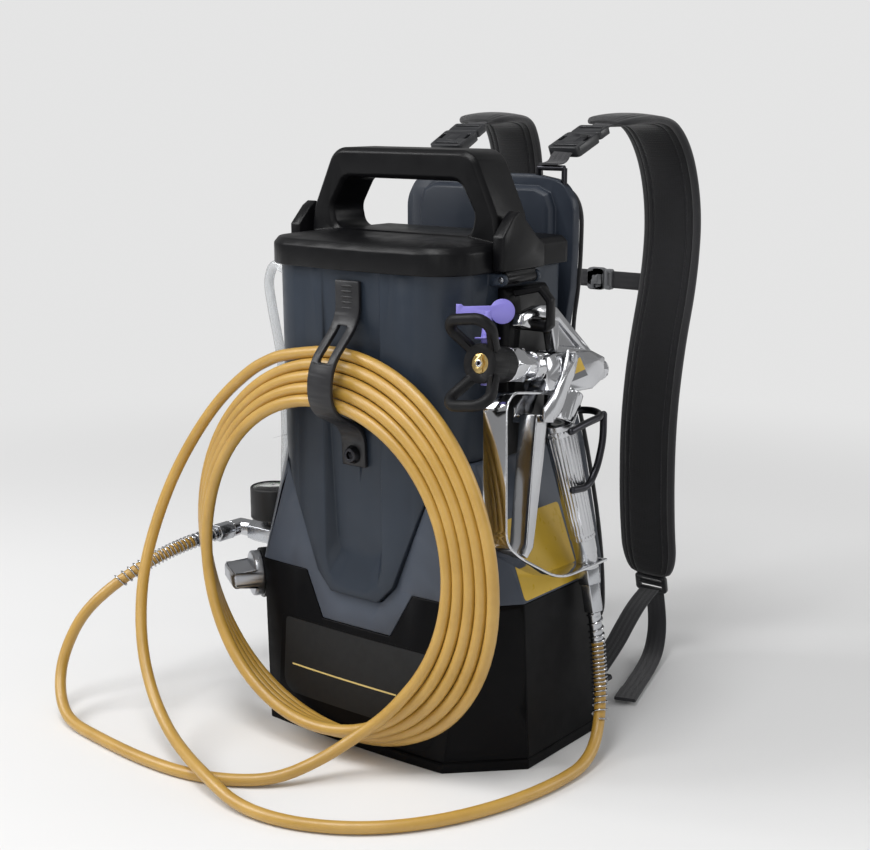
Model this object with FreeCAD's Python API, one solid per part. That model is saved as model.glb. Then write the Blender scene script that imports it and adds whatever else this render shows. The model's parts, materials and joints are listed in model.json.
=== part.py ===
import FreeCAD, Part
import math
import os

# Cordless airless paint sprayer, worn on the back. Millimetres.
# Origin: centre of the base's underside. +X is the gun side, +Y is the wearer's back, +Z is up.

os.makedirs("parts", exist_ok=True)
V = FreeCAD.Vector

# Clearances
RUN_GAP = 0.06
SKIN_GAP = 0.3
END_GAP = 0.5

# Lower housing
BASE_HALF_W = 177.0
BASE_TOP_HALF_W = 172.0
BASE_FRONT_Y = -104.0
BASE_TOP_FRONT_Y = -90.0
BASE_BACK_Y = 104.0
BASE_CORNER_X = 115.0
BASE_TOP_CORNER_X = 134.0
BASE_CORNER_Y = -38.0
BASE_TOP_CORNER_Y = -42.0
BASE_BACK_CORNER = 16.0
BASE_TOP_Z = 171.0
BASE_BOW = 4.0
SKIRT_H = 10.0
SKIRT_GROOVE_H = 1.6
SKIRT_GROOVE_DEPTH = 1.2
HOUSING_WALL = 3.0
FLOOR_T = 4.0
POST_R = 6.0
POST_X = 92.0
POST_FRONT_Y = -44.0
POST_BACK_Y = 84.0

# Flared middle housing with its U shaped tongue and window
FLARE_TOP_Z = 305.0
FLARE_GAP = 0.4
FLARE_WALL = 3.0
FLARE_LEDGE = 7.5
FLARE_CORNER = 34.0
TONGUE_Z = 125.0
TONGUE_HALF_W = 45.0
TONGUE_TOP_HALF_W = 70.0
WINDOW_Z = 157.0
WINDOW_HALF_W = 32.0
WINDOW_CHAMFER_Z = 176.0
WINDOW_CHAMFER_HALF_W = 50.0
WINDOW_TOP_HALF_W = 104.0

# Upper shell
SHELL_HALF_W = 117.0
SHELL_LOW_HALF_W = 112.0
SHELL_FRONT_Y = -97.0
SHELL_LOW_FRONT_Y = -82.0
SHELL_BACK_Y = 100.0
SHELL_APRON_Z = 150.0
SHELL_APRON_Y = -40.0
SHELL_TOP_Z = 505.0
SHELL_CORNER = 42.0
SHELL_BACK_CORNER = 12.0
SHELL_BOW = 4.0
SHELL_WALL = 3.0

# The shell's upright front, with a channel sunk in its middle; the pairs are half width and height
FRONT_GAP = 0.8
CHANNEL_RIM = [(20.0, 165.0), (32.0, 172.0), (38.0, 190.0), (38.0, 515.0)]
CHANNEL_RIM_Y = -98.0
CHANNEL_FOOT = [(12.0, 205.0), (24.0, 210.0), (29.0, 222.0), (29.0, 515.0)]
CHANNEL_FOOT_Y = -80.0
HOLLOW = [(41.5, 200.0), (55.0, 200.0), (98.0, 303.0), (98.0, 480.0), (41.5, 480.0)]

# Lid and its handle
LID_RIM_Z = SHELL_TOP_Z - 17.5
LID_EDGE_Z = SHELL_TOP_Z + 3.0
LID_TOP_Z = SHELL_TOP_Z + 9.0
LID_CROWN = 3.5
LID_OVERHANG = 6.0
LID_CORNER = 45.0
LID_WALL = 3.6
LID_ROOF = 3.0
LID_BEVEL = 5.0
LID_CROWN_INSET = 30.0
HANDLE_TOP_Z = SHELL_TOP_Z + 96.0
HANDLE_ELBOW_Z = SHELL_TOP_Z + 35.0
HANDLE_FRONT_Y = -20.0
HANDLE_BACK_Y = 35.0
HANDLE_FOOT_HALF_W = SHELL_HALF_W + 3.5
HANDLE_CROWN_HALF_W = SHELL_HALF_W - 28.4
HANDLE_CORNER = 24.0
HAND_HALF_W = SHELL_HALF_W - 26.0
HAND_TOP_HALF_W = SHELL_HALF_W - 44.0
HAND_FOOT_HALF_W = SHELL_HALF_W - 31.0
HAND_LOW_Z = SHELL_TOP_Z + 14.0
HAND_WIDE_Z = SHELL_TOP_Z + 35.0
HAND_TOP_Z = SHELL_TOP_Z + 66.0
HAND_CORNER = 15.0
HANDLE_EDGE = 4.5
SEAL_H = 5.4
SEAL_W = 5.0

# Side latches
LATCH_FRONT_Y = -33.0
LATCH_BACK_Y = 37.0
LATCH_THICK = 13.0
LATCH_GAP = 0.6
LATCH_TOP_Z = SHELL_TOP_Z + 40.0
LATCH_BEVEL_Z = SHELL_TOP_Z + 35.0
LATCH_BACK_TOP_Z = SHELL_TOP_Z + 13.0
LATCH_LOW_Z = SHELL_TOP_Z - 16.0
LATCH_CREST_Y = -6.0
LATCH_PIN_R = 3.0
LATCH_PIN_Z = SHELL_TOP_Z - 24.0
LATCH_PIN_OUT = 14.5
LATCH_KNUCKLE_R = 5.0
LATCH_KNUCKLE_HALF_W = 24.5
EAR_T = 5.0
EAR_R = 6.0

# Back plate and back cushion
PLATE_FRONT_Y = 120.0
PLATE_SKIN_Y = 128.0
PLATE_BACK_Y = 140.0
PLATE_OUTLINE = [(148.0, 20.0), (148.0, 60.0), (146.0, 171.0), (121.0, 295.0), (104.0, 350.0), (101.0, 411.0),
                 (108.0, 456.0), (110.0, 500.0), (110.0, 542.0), (96.0, 566.0), (60.0, 572.0)]
PLATE_CORNER = 34.0
PLATE_PANEL_HALF_W = 88.0
PLATE_PANEL_TOP_Z = 560.0
PLATE_PANEL_LOW_Z = 60.0
PLATE_PANEL_CORNER = 22.0
PLATE_PANEL_BEVEL = 4.0
PLATE_BOSS_R = 9.0
PLATE_BOSS_X = 60.0
PLATE_BOSS_Z = (215.0, 440.0)
PLATE_FOOT_Z = (50.0, 130.0)
PAD_T = 28.0
PAD_EDGE_T = 17.0
PAD_INSET = 4.0
PAD_LOW_Z = 60.0
PAD_CHANNEL_R = 5.0
PAD_CHANNEL_Z = (215.0, 385.0)

# Shoulder harness, right half
STRAP_PAD_W = 72.0
STRAP_PAD_T = 13.0
WEB_W = 24.0
WEB_T = 1.8
SHOULDER_PATH = [V(84, 225, 624), V(92, 285, 634), V(101, 325, 600), V(107, 343, 528), V(110, 332, 450),
                 V(112, 303, 370), V(112, 290, 289), V(111, 293, 205), V(110, 302, 140), V(110, 311, 100)]
SHOULDER_ANCHOR = V(78, 134, 579)
SHOULDER_BUCKLE = V(80, 183, 606)
BUCKLE_L = 40.0
BUCKLE_W = 36.0
BUCKLE_T = 9.0
ANCHOR_R = 3.0
LOWER_WEB = [V(113, 303, 84), V(117, 272, 78), V(122, 236, 63), V(127, 202, 46), V(130, 163, 30.6)]
LOWER_ANCHOR = V(130, 164, 26)
TAIL_WEB = [V(113, 316, 80), V(118, 318, 46), V(126, 298, 14), V(138, 258, 6), V(152, 212, 5.6), V(168, 160, 5.6)]
LOCK_L = 22.0
LOCK_T = 8.0
STERNUM_Z = 442.0
STERNUM_W = 20.0
STERNUM_SEAT = 0.4
STERNUM_BUCKLE_X = (4.0, 37.0)
STERNUM_BUCKLE_T = 10.0

# Hose keeper on the front
KEEPER_W = 30.0
KEEPER_T = 5.0
KEEPER_LOW_Z = 293.0
KEEPER_SCREW_Z = 305.0
KEEPER_BEND_Z = 332.0
KEEPER_BELLY_Y = -141.0
KEEPER_BELLY_LOW_Z = 355.0
KEEPER_BELLY_TOP_Z = 398.0
KEEPER_TAB_Z = 440.0
KEEPER_TOP_Z = 478.0
KEEPER_SLOT_W = 12.0
KEEPER_SLOT_Z = (402.0, 435.0)
SCREW_HEAD_R = 9.5
SCREW_HEAD_TOP_R = 6.8
SCREW_SOCKET_R = 4.2
SCREW_R = 3.0
SCREW_HEAD_H = 6.0

# Gun rail with its hanging loop, and the grip clip below
RAIL_FRONT_Y = -14.0
RAIL_BACK_Y = 56.0
RAIL_OUT_X = SHELL_HALF_W + 13.0
RAIL_LOW_Z = 307.0
RAIL_TOP_Z = 471.0
LOOP_Y = 1.0
LOOP_W = 9.0
LOOP_T = 6.0
LOOP_SEAT_T = 11.0
LOOP_OUT_X = RAIL_OUT_X + 41.0
LOOP_TOP_Z = 475.0
LOOP_SEAT_Z = 442.2
CLIP_BAR_R = 3.6
CLIP_ARM = [V(RAIL_OUT_X - 4, 40, 337), V(RAIL_OUT_X + 8, 66, 340), V(RAIL_OUT_X + 36, 82, 343),
            V(RAIL_OUT_X + 59, 66, 342), V(RAIL_OUT_X + 60, 34, 340), V(RAIL_OUT_X + 59, 8, 336)]
CLIP_DROP = [V(RAIL_OUT_X + 56, 72, 342), V(RAIL_OUT_X + 61, 64, 318), V(RAIL_OUT_X + 61, 54, 292),
             V(RAIL_OUT_X + 61, 38, 275), V(RAIL_OUT_X + 60, 12, 277)]

# Outlet, gauge, pressure knob and return tube on the left side
OUTLET_Y = -10.0
OUTLET_Z = 169.0
OUTLET_HEX_R = 14.0
OUTLET_STEM_R = 9.0
STEM_DEPTH = 7.0
OUTLET_HEX_X = -175.0
OUTLET_END_X = -224.0
ELBOW_X = -246.0
ELBOW_R = 9.5
ELBOW_LEG = 17.0
GAUGE_X = -194.0
GAUGE_R = 25.0
GAUGE_LOW_Z = 189.0
GAUGE_TOP_Z = 225.0
GAUGE_WALL = 2.5
GAUGE_DEPTH = 6.0
GAUGE_STEM_R = 6.0
GAUGE_EDGE = 1.2
DIAL_T = 1.2
NEEDLE_L = 17.0
NEEDLE_W = 1.8
NEEDLE_T = 0.9
NEEDLE_HUB_R = 3.0
NEEDLE_PIN_R = 1.2
NEEDLE_ZERO = 45.0
KNOB_CENTRE = V(-147, -60, 147)
KNOB_TURN = 33.0
KNOB_R = 24.5
KNOB_DISC_T = 10.0
KNOB_GRIP_T = 18.0
KNOB_GRIP_H = 25.0
KNOB_SHAFT_R = 5.0
KNOB_SHAFT_L = 24.0
KNOB_EDGE = 1.6
KNOB_GRIP_EDGE = 3.0
COLLAR_R = 27.0
COLLAR_T = 14.0
RETURN_R = 5.2
RETURN_PATH = [V(-114.2, -41, 470), V(-134, -41, 473), V(-154, -41, 481), V(-163, -41, 460), V(-157, -41, 428),
               V(-147, -41, 388), V(-142, -41, 342), V(-141, -41, 298), V(-144, -41, 257), V(-143, -41, 217),
               V(-140, -41, 182)]

# Hose
HOSE_R = 6.0
COIL_X = -12.0
COIL_Z = 197.5
COIL_RX = 155.0
COIL_RZ = 164.0
COIL_PITCH = 12.8
COIL_START = -50.0
COIL_END = 1550.0
COIL_STEPS = 18
NUT_R = 10.5
NUT_L = 22.0
HOSE_EXIT = V(ELBOW_X, OUTLET_Y - ELBOW_LEG - NUT_L, OUTLET_Z)
LEAD_PATH = [HOSE_EXIT, V(-248, -89, 168), V(-262, -132, 155), V(-284, -170, 131), V(-306, -194, 101),
             V(-315, -211, 66.5), V(-309, -226.6, 39.4), V(-290, -241, 18), V(-262, -252, 6.2), V(-204, -260, 6),
             V(-140, -266, 6), V(-80, -264, 6), V(-30, -248, 6), V(8, -220, 8), V(31, -179, 21)]
TAIL_PATH = [V(-127, -106, 378), V(-170, -107, 345), V(-203, -114, 303), V(-224, -128, 258), V(-233, -146, 212),
             V(-231, -168, 166), V(-218, -188, 123), V(-196, -206, 84), V(-164, -222, 50), V(-122, -239, 28),
             V(-76, -258, 22), V(-32, -273, 18), V(14, -282, 8), V(64, -278, 6), V(110, -260, 6), V(150, -230, 6),
             V(182, -188, 6), V(205, -138, 6), V(218, -88, 6), V(223, -46, 6), V(223, -12, 7), V(219, 15, 16),
             V(211.5, 36, 34), V(205, 48, 56), V(198, 54, 90)]
LEFT_SPRING_L = 128.0
RIGHT_SPRING_L = 112.0
SPRING_START = 1.5
SPRING_R = 7.5
SPRING_WIRE_R = 1.1
SPRING_COILS = 20
SPRING_EASE = 0.06

# Spray gun, built with its barrel along its own Y and its grip down, then hung on the loop
GUN_PLACE = V(RAIL_OUT_X + 27.19, -25, 401.44)
GUN_LEAN = -7.0
GUN_TILT = -9.5
BARREL_R = 14.5
NOSE_R = 9.0
NOSE_FRONT = -50.0
BODY_FRONT = 4.0
BODY_BACK = 118.0
BODY_HALF_T = 15.0
ARM_T = 12.0
ARM_WEB = 4.0
TIP_NUT_R = 18.5
TIP_NUT_FRONT = -34.0
TIP_NUT_BACK = -14.0
TIP_NUT_NECK_R = 15.0
HUB_R = 18.5
HUB_FRONT = -72.0
HUB_BACK = -50.0
HUB_SKIRT_R = 17.0
HUB_SKIRT_BACK = -34.4
TIP_Y = -60.0
TIP_R = 6.0
TIP_TOP = 24.0
TIP_FLANGE_R = 12.0
TIP_FLANGE_T = 1.5
FLAG_STEM_R = 3.5
FLAG_Z = 48.0
FLAG_HEAD_Y = 13.5
FLAG_HEAD_R = 11.5
FLAG_ARM = [(15.0, -5.5), (15.0, 5.5), (-22.0, 4.5), (-24.0, 6.5), (-29.0, 6.5), (-29.0, -4.0)]
FLAG_T = 4.0
FLAG_TURN = -52.0
EAR_BAR_R = 5.4
EAR_FOOT_HALF_W = 12.0
EAR_FOOT_RISE = 13.0
EAR_RISE = 39.0
EAR_Y = -94.0
EAR_HALF_W = 28.0
SEAT_R = 9.4
SEAT_DEPTH = 5.5
SPRAY_BORE_R = 4.0
HUB_SEAT_Y = -53.0
TIP_LOW = -20.0
TIP_ORIFICE_R = 1.5
PIN_Y = 54.0
PIN_Z = 9.0
PIN_R = 3.0
CHEEK_T = 3.0
CHEEK_GAP = 0.5
TRIGGER_HALF_W = 10.0
TRIGGER_SKIN = 3.0
ROD_R = 2.2
NEEDLE_ROD_Y = (-44.0, 100.0)
CAP_R = 12.0
CAP_L = 15.0
CONE_TOP = V(0, 67, -24)
CONE_R = 19.5
GRIP_TOP = V(0, 57, -54)
GRIP_FOOT = V(0, 108, -182)
GRIP_R = 15.5
GRIP_FOOT_R = 11.5
GRIP_BORE_R = 7.5
FILTER_R = 5.5
FILTER_FLANGE_R = 7.3
FILTER_FLANGE_T = 4.0
GRIP_PLUG = 12.0
GUARD_W = 27.0
GUARD_T = 2.6
GUARD_PATH = [V(0, 46, -25.5), V(0, -36, -26.5), V(0, -47, -38), V(0, -46, -166), V(0, -24, -180), V(0, 42, -205),
              V(0, 92, -198), V(0, 128, -192)]
SWIVEL_AIM = V(0, 17, -66)
NECK_R = 11.0
NECK_L = 18.0
COLLAR_NUT_R = 12.5
COLLAR_NUT_L = 16.0
SWIVEL_R = 10.5
SWIVEL_L = 30.0
SPIGOT_R = 6.0
SPIGOT_L = 10.0
LOCK_PIVOT = V(-15, 80, -14)
LOCK_R = 5.5
LOCK_ARM = 15.0
LOCK_ARM_W = 6.0
LOCK_PLATE_T = 4.0
LOCK_STUD_R = 2.5
LOCK_STUD_L = 8.0
SLAB = [(20, -24), (16, -12), (14, 8.5), (30, 12), (95, 17.5), (118, 12), (118, -8), (96, -20), (62, -24)]
ARM = [(43, 14), (34, 46.5), (3, 46.5), (1, 35), (-14, 37), (-10, 49), (17, 58), (36, 60), (45, 58), (83, 34),
       (118, 12), (118, 0), (60, 0)]
ARM_HOLLOW = [(49, 44), (86, 20.5), (49, 21)]
CHEEK = [(46, 17), (60, 17), (64, 8), (58, -8), (46, -24), (36, -44), (20, -54), (6, -54), (6, -40), (24, -26),
         (38, -8)]
BRIDGE = [(6, -54), (22, -54), (22, -46), (6, -46)]
BLADE = [(6, -46), (0, -90), (-5, -130), (-9, -168), (-15, -178), (-8, -182), (2, -172), (10, -130), (18, -90),
         (24, -50)]
BLADE_HOLLOW = [(11, -57), (4, -90), (-1, -130), (-4, -160), (20, -160), (40, -90), (40, -57)]

# What works inside
TANK_WALL = 2.5
TANK_GAP = 0.6
TANK_LOW_Z = 190.0
TANK_TOP_Z = 499.0
TANK_OUTLET_R = 15.0
TANK_SPOUT_Z = 159.6
TANK_FOOT_R = 8.0
TANK_FOOT_X = 80.0
TANK_FOOT_Y = (-50.0, 76.0)
STRAINER_R = 22.0
STRAINER_H = 26.0
STRAINER_WALL = 1.5
STRAINER_SLOTS = 16
MOTOR_R = 30.0
MOTOR_L = 80.0
MOTOR_X = 46.0
MOTOR_Y = 34.0
MOTOR_Z = 44.0
MOTOR_BORE_L = 14.0
SHAFT_R = 4.0
GEAR_MODULE = 1.5
PINION_TEETH = 12
GEAR_TEETH = 48
GEAR_W = 10.0
GEAR_X = 24.0
GEAR_ANGLE = 125.0
MESH_GAP = 0.25
AXLE_R = 6.0
STAND_T = 7.0
STAND_HALF_W = 13.0
CRANK_THROW = 8.0
CRANK_PIN_R = 5.0
CRANK_PIN_L = 12.0
YOKE_T = 8.0
YOKE_GAP = 0.6
PISTON_R = 9.0
PUMP_R = 16.0
PUMP_LOW_Z = 122.0
PUMP_TOP_Z = 150.0
PUMP_PIPE_R = 7.0
PUMP_PIPE_Y = 0.0
PUMP_PIPE_Z = 138.0
PISTON_TOP_Z = 140.0
YOKE_RIM = 6.0
YOKE_HALF_H = 13.0
INLET_R = 17.0
INLET_BORE_R = 6.0
BLOCK_X = (-157.0, -119.0)
BLOCK_Y = (-49.0, 8.0)
BLOCK_Z = (60.0, 182.0)
BATTERY_L = 112.0
BATTERY_Y = (14.0, 90.0)
BATTERY_Z = (11.0, 77.0)
BATTERY_GAP = 0.5
BATTERY_FACE = 1.5
BUTTON_R = 8.0
BUTTON_Y = 52.0
BUTTON_Z = 58.0
BUTTON_L = 7.0
BUTTON_POCKET = 10.0
BOARD_X = (-12.0, 76.0)
BOARD_Y = (-82.0, -34.0)
BOARD_Z = 12.0
BOARD_T = 2.0
BOARD_POST_R = 3.5
HEAT_SINK_H = 14.0
CAPACITOR_R = 5.5
CAPACITOR_H = 20.0
CHIP_H = 8.0
SWITCH_Y = 62.0
SWITCH_Z = 122.0
SWITCH_L = 26.0
SWITCH_W = 16.0
SWITCH_OUT_X = -BASE_TOP_HALF_W - 3.4
SWITCH_IN_X = -BASE_TOP_HALF_W + 4.0
SWITCH_AXIS_X = -BASE_TOP_HALF_W + 0.5
SWITCH_PIN_R = 1.2
SWITCH_PIN_SEAT = 2.0


def box(x0, x1, y0, y1, z0, z1):
    return Part.makeBox(x1 - x0, y1 - y0, z1 - z0, V(x0, y0, z0))


def rod(start, end, radius):
    path = end - start
    return Part.makeCylinder(radius, path.Length, start, path)


def cone(start, end, r0, r1):
    path = end - start
    return Part.makeCone(r0, r1, path.Length, start, path)


def hexagon(start, end, radius):
    path = end - start
    turn = FreeCAD.Rotation(V(0, 0, 1), path)
    points = []
    for i in range(7):
        a = math.radians(60.0 * i)
        points.append(start + turn.multVec(V(radius * math.cos(a), radius * math.sin(a), 0)))
    return Part.Face(Part.makePolygon(points)).extrude(path)


def prism(points, path):
    return Part.Face(Part.makePolygon(points + [points[0]])).extrude(path)


def side_profile(points, x0, x1):
    # points are (y, z) pairs
    return prism([V(x0, y, z) for y, z in points], V(x1 - x0, 0, 0))


def front_profile(points, y0, y1):
    # points are (x, z) pairs
    return prism([V(x, y0, z) for x, z in points], V(0, y1 - y0, 0))


def rounded_profile(points, radius, y0, y1):
    # points are (x, z) pairs; each corner turns on an arc, smaller where a side is short
    corners = [V(x, y0, z) for x, z in points]
    arcs = []
    for i, b in enumerate(corners):
        a, c = corners[i - 1], corners[(i + 1) % len(corners)]
        back, ahead = unit(a - b), unit(c - b)
        turn = math.pi - back.getAngle(ahead)
        trim = min(radius * math.tan(turn / 2), 0.45 * (a - b).Length, 0.45 * (c - b).Length)
        arc_r = trim / math.tan(turn / 2)
        mid = b + unit(back + ahead) * (arc_r / math.cos(turn / 2) - arc_r)
        arcs.append((b + back * trim, mid, b + ahead * trim))
    edges = []
    for i, (first, mid, last) in enumerate(arcs):
        edges.append(Part.Arc(first, mid, last).toShape())
        edges.append(Part.LineSegment(last, arcs[(i + 1) % len(arcs)][0]).toShape())
    return Part.Face(Part.Wire(edges)).extrude(V(0, y1 - y0, 0))


def mirrored(points):
    # completes a symmetric outline of (x, z) pairs from its right half, given from the bottom up
    return points + [(-x, z) for x, z in reversed(points)]


def closed(points):
    return points + [points[0]]


def loft(wires):
    return Part.makeLoft(wires, True, True)


def fuse(shapes):
    return shapes[0].multiFuse(shapes[1:]).removeSplitter()


def flip(shape):
    # the same piece on the other side of the body
    return shape.mirror(V(0, 0, 0), V(1, 0, 0))


def unit(vector):
    short = V(vector)
    short.normalize()
    return short


def lerp(low, high, t):
    return low + (high - low) * t


def outline(half_w, front, corner_x, corner_y, back, z, inset=0.0):
    # one level section of the lower casing: bowed front, cut front corners, round back corners
    w = half_w - inset
    cut = inset * 0.42
    cx, cy = corner_x - cut, corner_y + cut
    f, b = front + inset, back - inset
    r = BASE_BACK_CORNER - inset
    k = r * (1 - math.sqrt(0.5))
    edges = [
        Part.Arc(V(-cx, f + BASE_BOW, z), V(0, f, z), V(cx, f + BASE_BOW, z)).toShape(),
        Part.LineSegment(V(cx, f + BASE_BOW, z), V(w, cy, z)).toShape(),
        Part.LineSegment(V(w, cy, z), V(w, b - r, z)).toShape(),
        Part.Arc(V(w, b - r, z), V(w - k, b - k, z), V(w - r, b, z)).toShape(),
        Part.LineSegment(V(w - r, b, z), V(-w + r, b, z)).toShape(),
        Part.Arc(V(-w + r, b, z), V(-w + k, b - k, z), V(-w, b - r, z)).toShape(),
        Part.LineSegment(V(-w, b - r, z), V(-w, cy, z)).toShape(),
        Part.LineSegment(V(-w, cy, z), V(-cx, f + BASE_BOW, z)).toShape(),
    ]
    return Part.Wire(edges)


def round_outline(half_w, front, back, corner, z, inset=0.0):
    # a level section of the shell or the lid, with round corners
    w = half_w - inset
    r, q = corner - inset, max(SHELL_BACK_CORNER - inset, 1.0)
    f, b = front + inset, back - inset
    cx, cy = w - r, f + SHELL_BOW + r
    k, m = r * (1 - math.sqrt(0.5)), q * (1 - math.sqrt(0.5))
    edges = [
        Part.Arc(V(-cx, f + SHELL_BOW, z), V(0, f, z), V(cx, f + SHELL_BOW, z)).toShape(),
        Part.Arc(V(cx, f + SHELL_BOW, z), V(w - k, f + SHELL_BOW + k, z), V(w, cy, z)).toShape(),
        Part.LineSegment(V(w, cy, z), V(w, b - q, z)).toShape(),
        Part.Arc(V(w, b - q, z), V(w - m, b - m, z), V(w - q, b, z)).toShape(),
        Part.LineSegment(V(w - q, b, z), V(-w + q, b, z)).toShape(),
        Part.Arc(V(-w + q, b, z), V(-w + m, b - m, z), V(-w, b - q, z)).toShape(),
        Part.LineSegment(V(-w, b - q, z), V(-w, cy, z)).toShape(),
        Part.Arc(V(-w, cy, z), V(-w + k, f + SHELL_BOW + k, z), V(-cx, f + SHELL_BOW, z)).toShape(),
    ]
    return Part.Wire(edges)


def base_section(z, inset=0.0):
    t = z / BASE_TOP_Z
    return outline(lerp(BASE_HALF_W, BASE_TOP_HALF_W, t), lerp(BASE_FRONT_Y, BASE_TOP_FRONT_Y, t),
                   lerp(BASE_CORNER_X, BASE_TOP_CORNER_X, t), lerp(BASE_CORNER_Y, BASE_TOP_CORNER_Y, t),
                   BASE_BACK_Y, z, inset)


def shell_t(z):
    return (z - SHELL_APRON_Z) / (SHELL_TOP_Z - SHELL_APRON_Z)


def shell_half_w(z):
    return lerp(SHELL_LOW_HALF_W, SHELL_HALF_W, shell_t(z))


def shell_front(z):
    return lerp(SHELL_LOW_FRONT_Y, SHELL_FRONT_Y, shell_t(z))


def shell_section(z, inset=0.0):
    return round_outline(shell_half_w(z), shell_front(z), SHELL_BACK_Y, SHELL_CORNER, z, inset)


def flare_top_section(inset=0.0):
    z = FLARE_TOP_Z
    w = shell_half_w(z) + FLARE_LEDGE
    front = shell_front(z) - FLARE_LEDGE * 0.6
    return outline(w, front, w - FLARE_CORNER, front + BASE_BOW + FLARE_CORNER, BASE_BACK_Y, z, inset)


def lid_section(z, inset=0.0):
    return round_outline(SHELL_HALF_W + LID_OVERHANG, SHELL_FRONT_Y - LID_OVERHANG, SHELL_BACK_Y + LID_OVERHANG,
                         LID_CORNER, z, inset)


def corner_arcs(points):
    # straight runs joined by arcs as large as the two runs allow, and the least radius
    edges, least, start = [], 1e9, points[0]
    for a, b, c in zip(points, points[1:], points[2:]):
        back, ahead = a - b, c - b
        trim = 0.45 * min(back.Length, ahead.Length)
        turn = math.pi - back.getAngle(ahead)
        radius = trim / math.tan(turn / 2)
        back, ahead = unit(back), unit(ahead)
        middle = unit(back + ahead)
        mid = b + middle * (radius / math.cos(turn / 2) - radius)
        edges.append(Part.LineSegment(start, b + back * trim).toShape())
        edges.append(Part.Arc(b + back * trim, mid, b + ahead * trim).toShape())
        start = b + ahead * trim
        least = min(least, radius)
    edges.append(Part.LineSegment(start, points[-1]).toShape())
    return edges, least


def pipe(points, radius):
    path = Part.Wire(corner_arcs(points)[0])
    ring = Part.Wire([Part.Circle(points[0], points[1] - points[0], radius).toShape()])
    return path.makePipeShell([ring], True, False)


def tube(points, radius, name):
    edges, least = corner_arcs(points)
    path = Part.Wire(edges)
    solid = pipe(points, radius)
    ratio = solid.Volume / (math.pi * radius ** 2 * path.Length)
    print(name, "length", round(path.Length), "least radius", round(least), "volume ratio", round(ratio, 3))
    return solid


def strip(points, width, thickness, across=V(1, 0, 0)):
    # a flat band along straight runs and tangent arcs
    path = Part.Wire(corner_arcs(points)[0])
    along = unit(points[1] - points[0])
    side = unit(across - along * across.dot(along))
    up = along.cross(side)
    corners = []
    for s, u in ((-1, -1), (1, -1), (1, 1), (-1, 1), (-1, -1)):
        corners.append(points[0] + side * (s * width / 2) + up * (u * thickness / 2))
    return path.makePipeShell([Part.makePolygon(corners)], True, False)


def biarc(p0, t0, p1, t1):
    # two arcs that leave p0 along t0 and reach p1 along t1
    v, t = p1 - p0, t0 + t1
    denominator = 2 * (1 - t0.dot(t1))
    if abs(denominator) < 1e-9:
        d = v.dot(v) / (4 * v.dot(t1))
    else:
        vt = v.dot(t)
        d = (-vt + math.sqrt(vt * vt + denominator * v.dot(v))) / denominator
    joint = (p0 + p1 + (t0 - t1) * d) * 0.5
    return [tangent_arc(p0, t0, joint), tangent_arc(p1, t1 * -1, joint, True)]


def tangent_arc(start, direction, end, backward=False):
    chord = end - start
    along = unit(chord)
    cosine = max(-1.0, min(1.0, direction.dot(along)))
    side = unit(direction - along * cosine)
    mid = (start + end) * 0.5 + side * (chord.Length / 2 * math.tan(math.acos(cosine) / 2))
    if backward:
        start, end = end, start
    return Part.Arc(start, mid, end).toShape()


def wound_tube(place, start, end, steps, per_turn, radius, name):
    # place(angle) is the centre line; one pipe on biarcs, with its gap to itself measured on points
    def direction(a):
        return unit(place(a + 0.05) - place(a - 0.05))
    edges = []
    for i in range(steps):
        a0 = lerp(start, end, i / steps)
        a1 = lerp(start, end, (i + 1) / steps)
        edges += biarc(place(a0), direction(a0), place(a1), direction(a1))
    path = Part.Wire(edges)
    ring = Part.Wire([Part.Circle(place(start), direction(start), radius).toShape()])
    solid = path.makePipeShell([ring], True, False)
    samples = []
    for edge in edges:
        first, last = edge.ParameterRange
        samples += [edge.valueAt(lerp(first, last, k / 8)) for k in range(8)]
    apart = per_turn * 16 // 2
    gap = min((samples[i] - samples[j]).Length for i in range(len(samples))
              for j in range(i + apart, min(len(samples), i + 3 * apart)))
    print(name, "length", round(path.Length), "least gap to itself", round(gap - 2 * radius, 2))
    return solid


def coil_place(angle):
    # loops stacked outwards and backwards from the front one; how far each way changes round the loop
    turn = (angle - COIL_START) / 360.0
    a = math.radians(angle)
    c, s, c2 = math.cos(a), math.sin(a), math.cos(2 * a)
    lean = math.radians(33.5 - 16.5 * c - 20.5 * s - 12.0 * c2)
    front = -137.75 + 7.5 * c + 13.0 * s + 5.25 * c2
    out = turn * COIL_PITCH * math.cos(lean)
    back = turn * COIL_PITCH * math.sin(lean)
    return V(COIL_X + (COIL_RX + out) * c, front + back, COIL_Z + (COIL_RZ + out) * s)


def along_path(edges, distance):
    # the point and direction at a distance along joined edges
    for edge in edges:
        if distance <= edge.Length:
            break
        distance -= edge.Length
    distance = min(distance, edge.Length)
    at = edge.getParameterByLength(distance)
    return edge.valueAt(at), unit(edge.tangentAt(at))


def spring(points, start, length, name):
    # a round wire wound on the hose, its end curls closer together
    edges = corner_arcs(points)[0]
    total = 360.0 * SPRING_COILS

    def place(angle):
        share = angle / total
        eased = share - SPRING_EASE * math.sin(2 * math.pi * share)
        centre, along = along_path(edges, start + length * eased)
        side = unit(V(1, 0, 0) - along * along.x)
        up = along.cross(side)
        a = math.radians(angle)
        return centre + side * (SPRING_R * math.cos(a)) + up * (SPRING_R * math.sin(a))
    return wound_tube(place, 0.5, total - 0.5, SPRING_COILS * 4, 4, SPRING_WIRE_R, name)


def gun_placement():
    lean = FreeCAD.Placement(GUN_PLACE, FreeCAD.Rotation(V(0, 1, 0), GUN_LEAN))
    tilt = FreeCAD.Placement(V(0, 0, 0), FreeCAD.Rotation(V(1, 0, 0), GUN_TILT))
    return lean.multiply(tilt)


def hang(shape):
    moved = shape.copy()
    moved.Placement = gun_placement().multiply(moved.Placement)
    return moved


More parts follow.
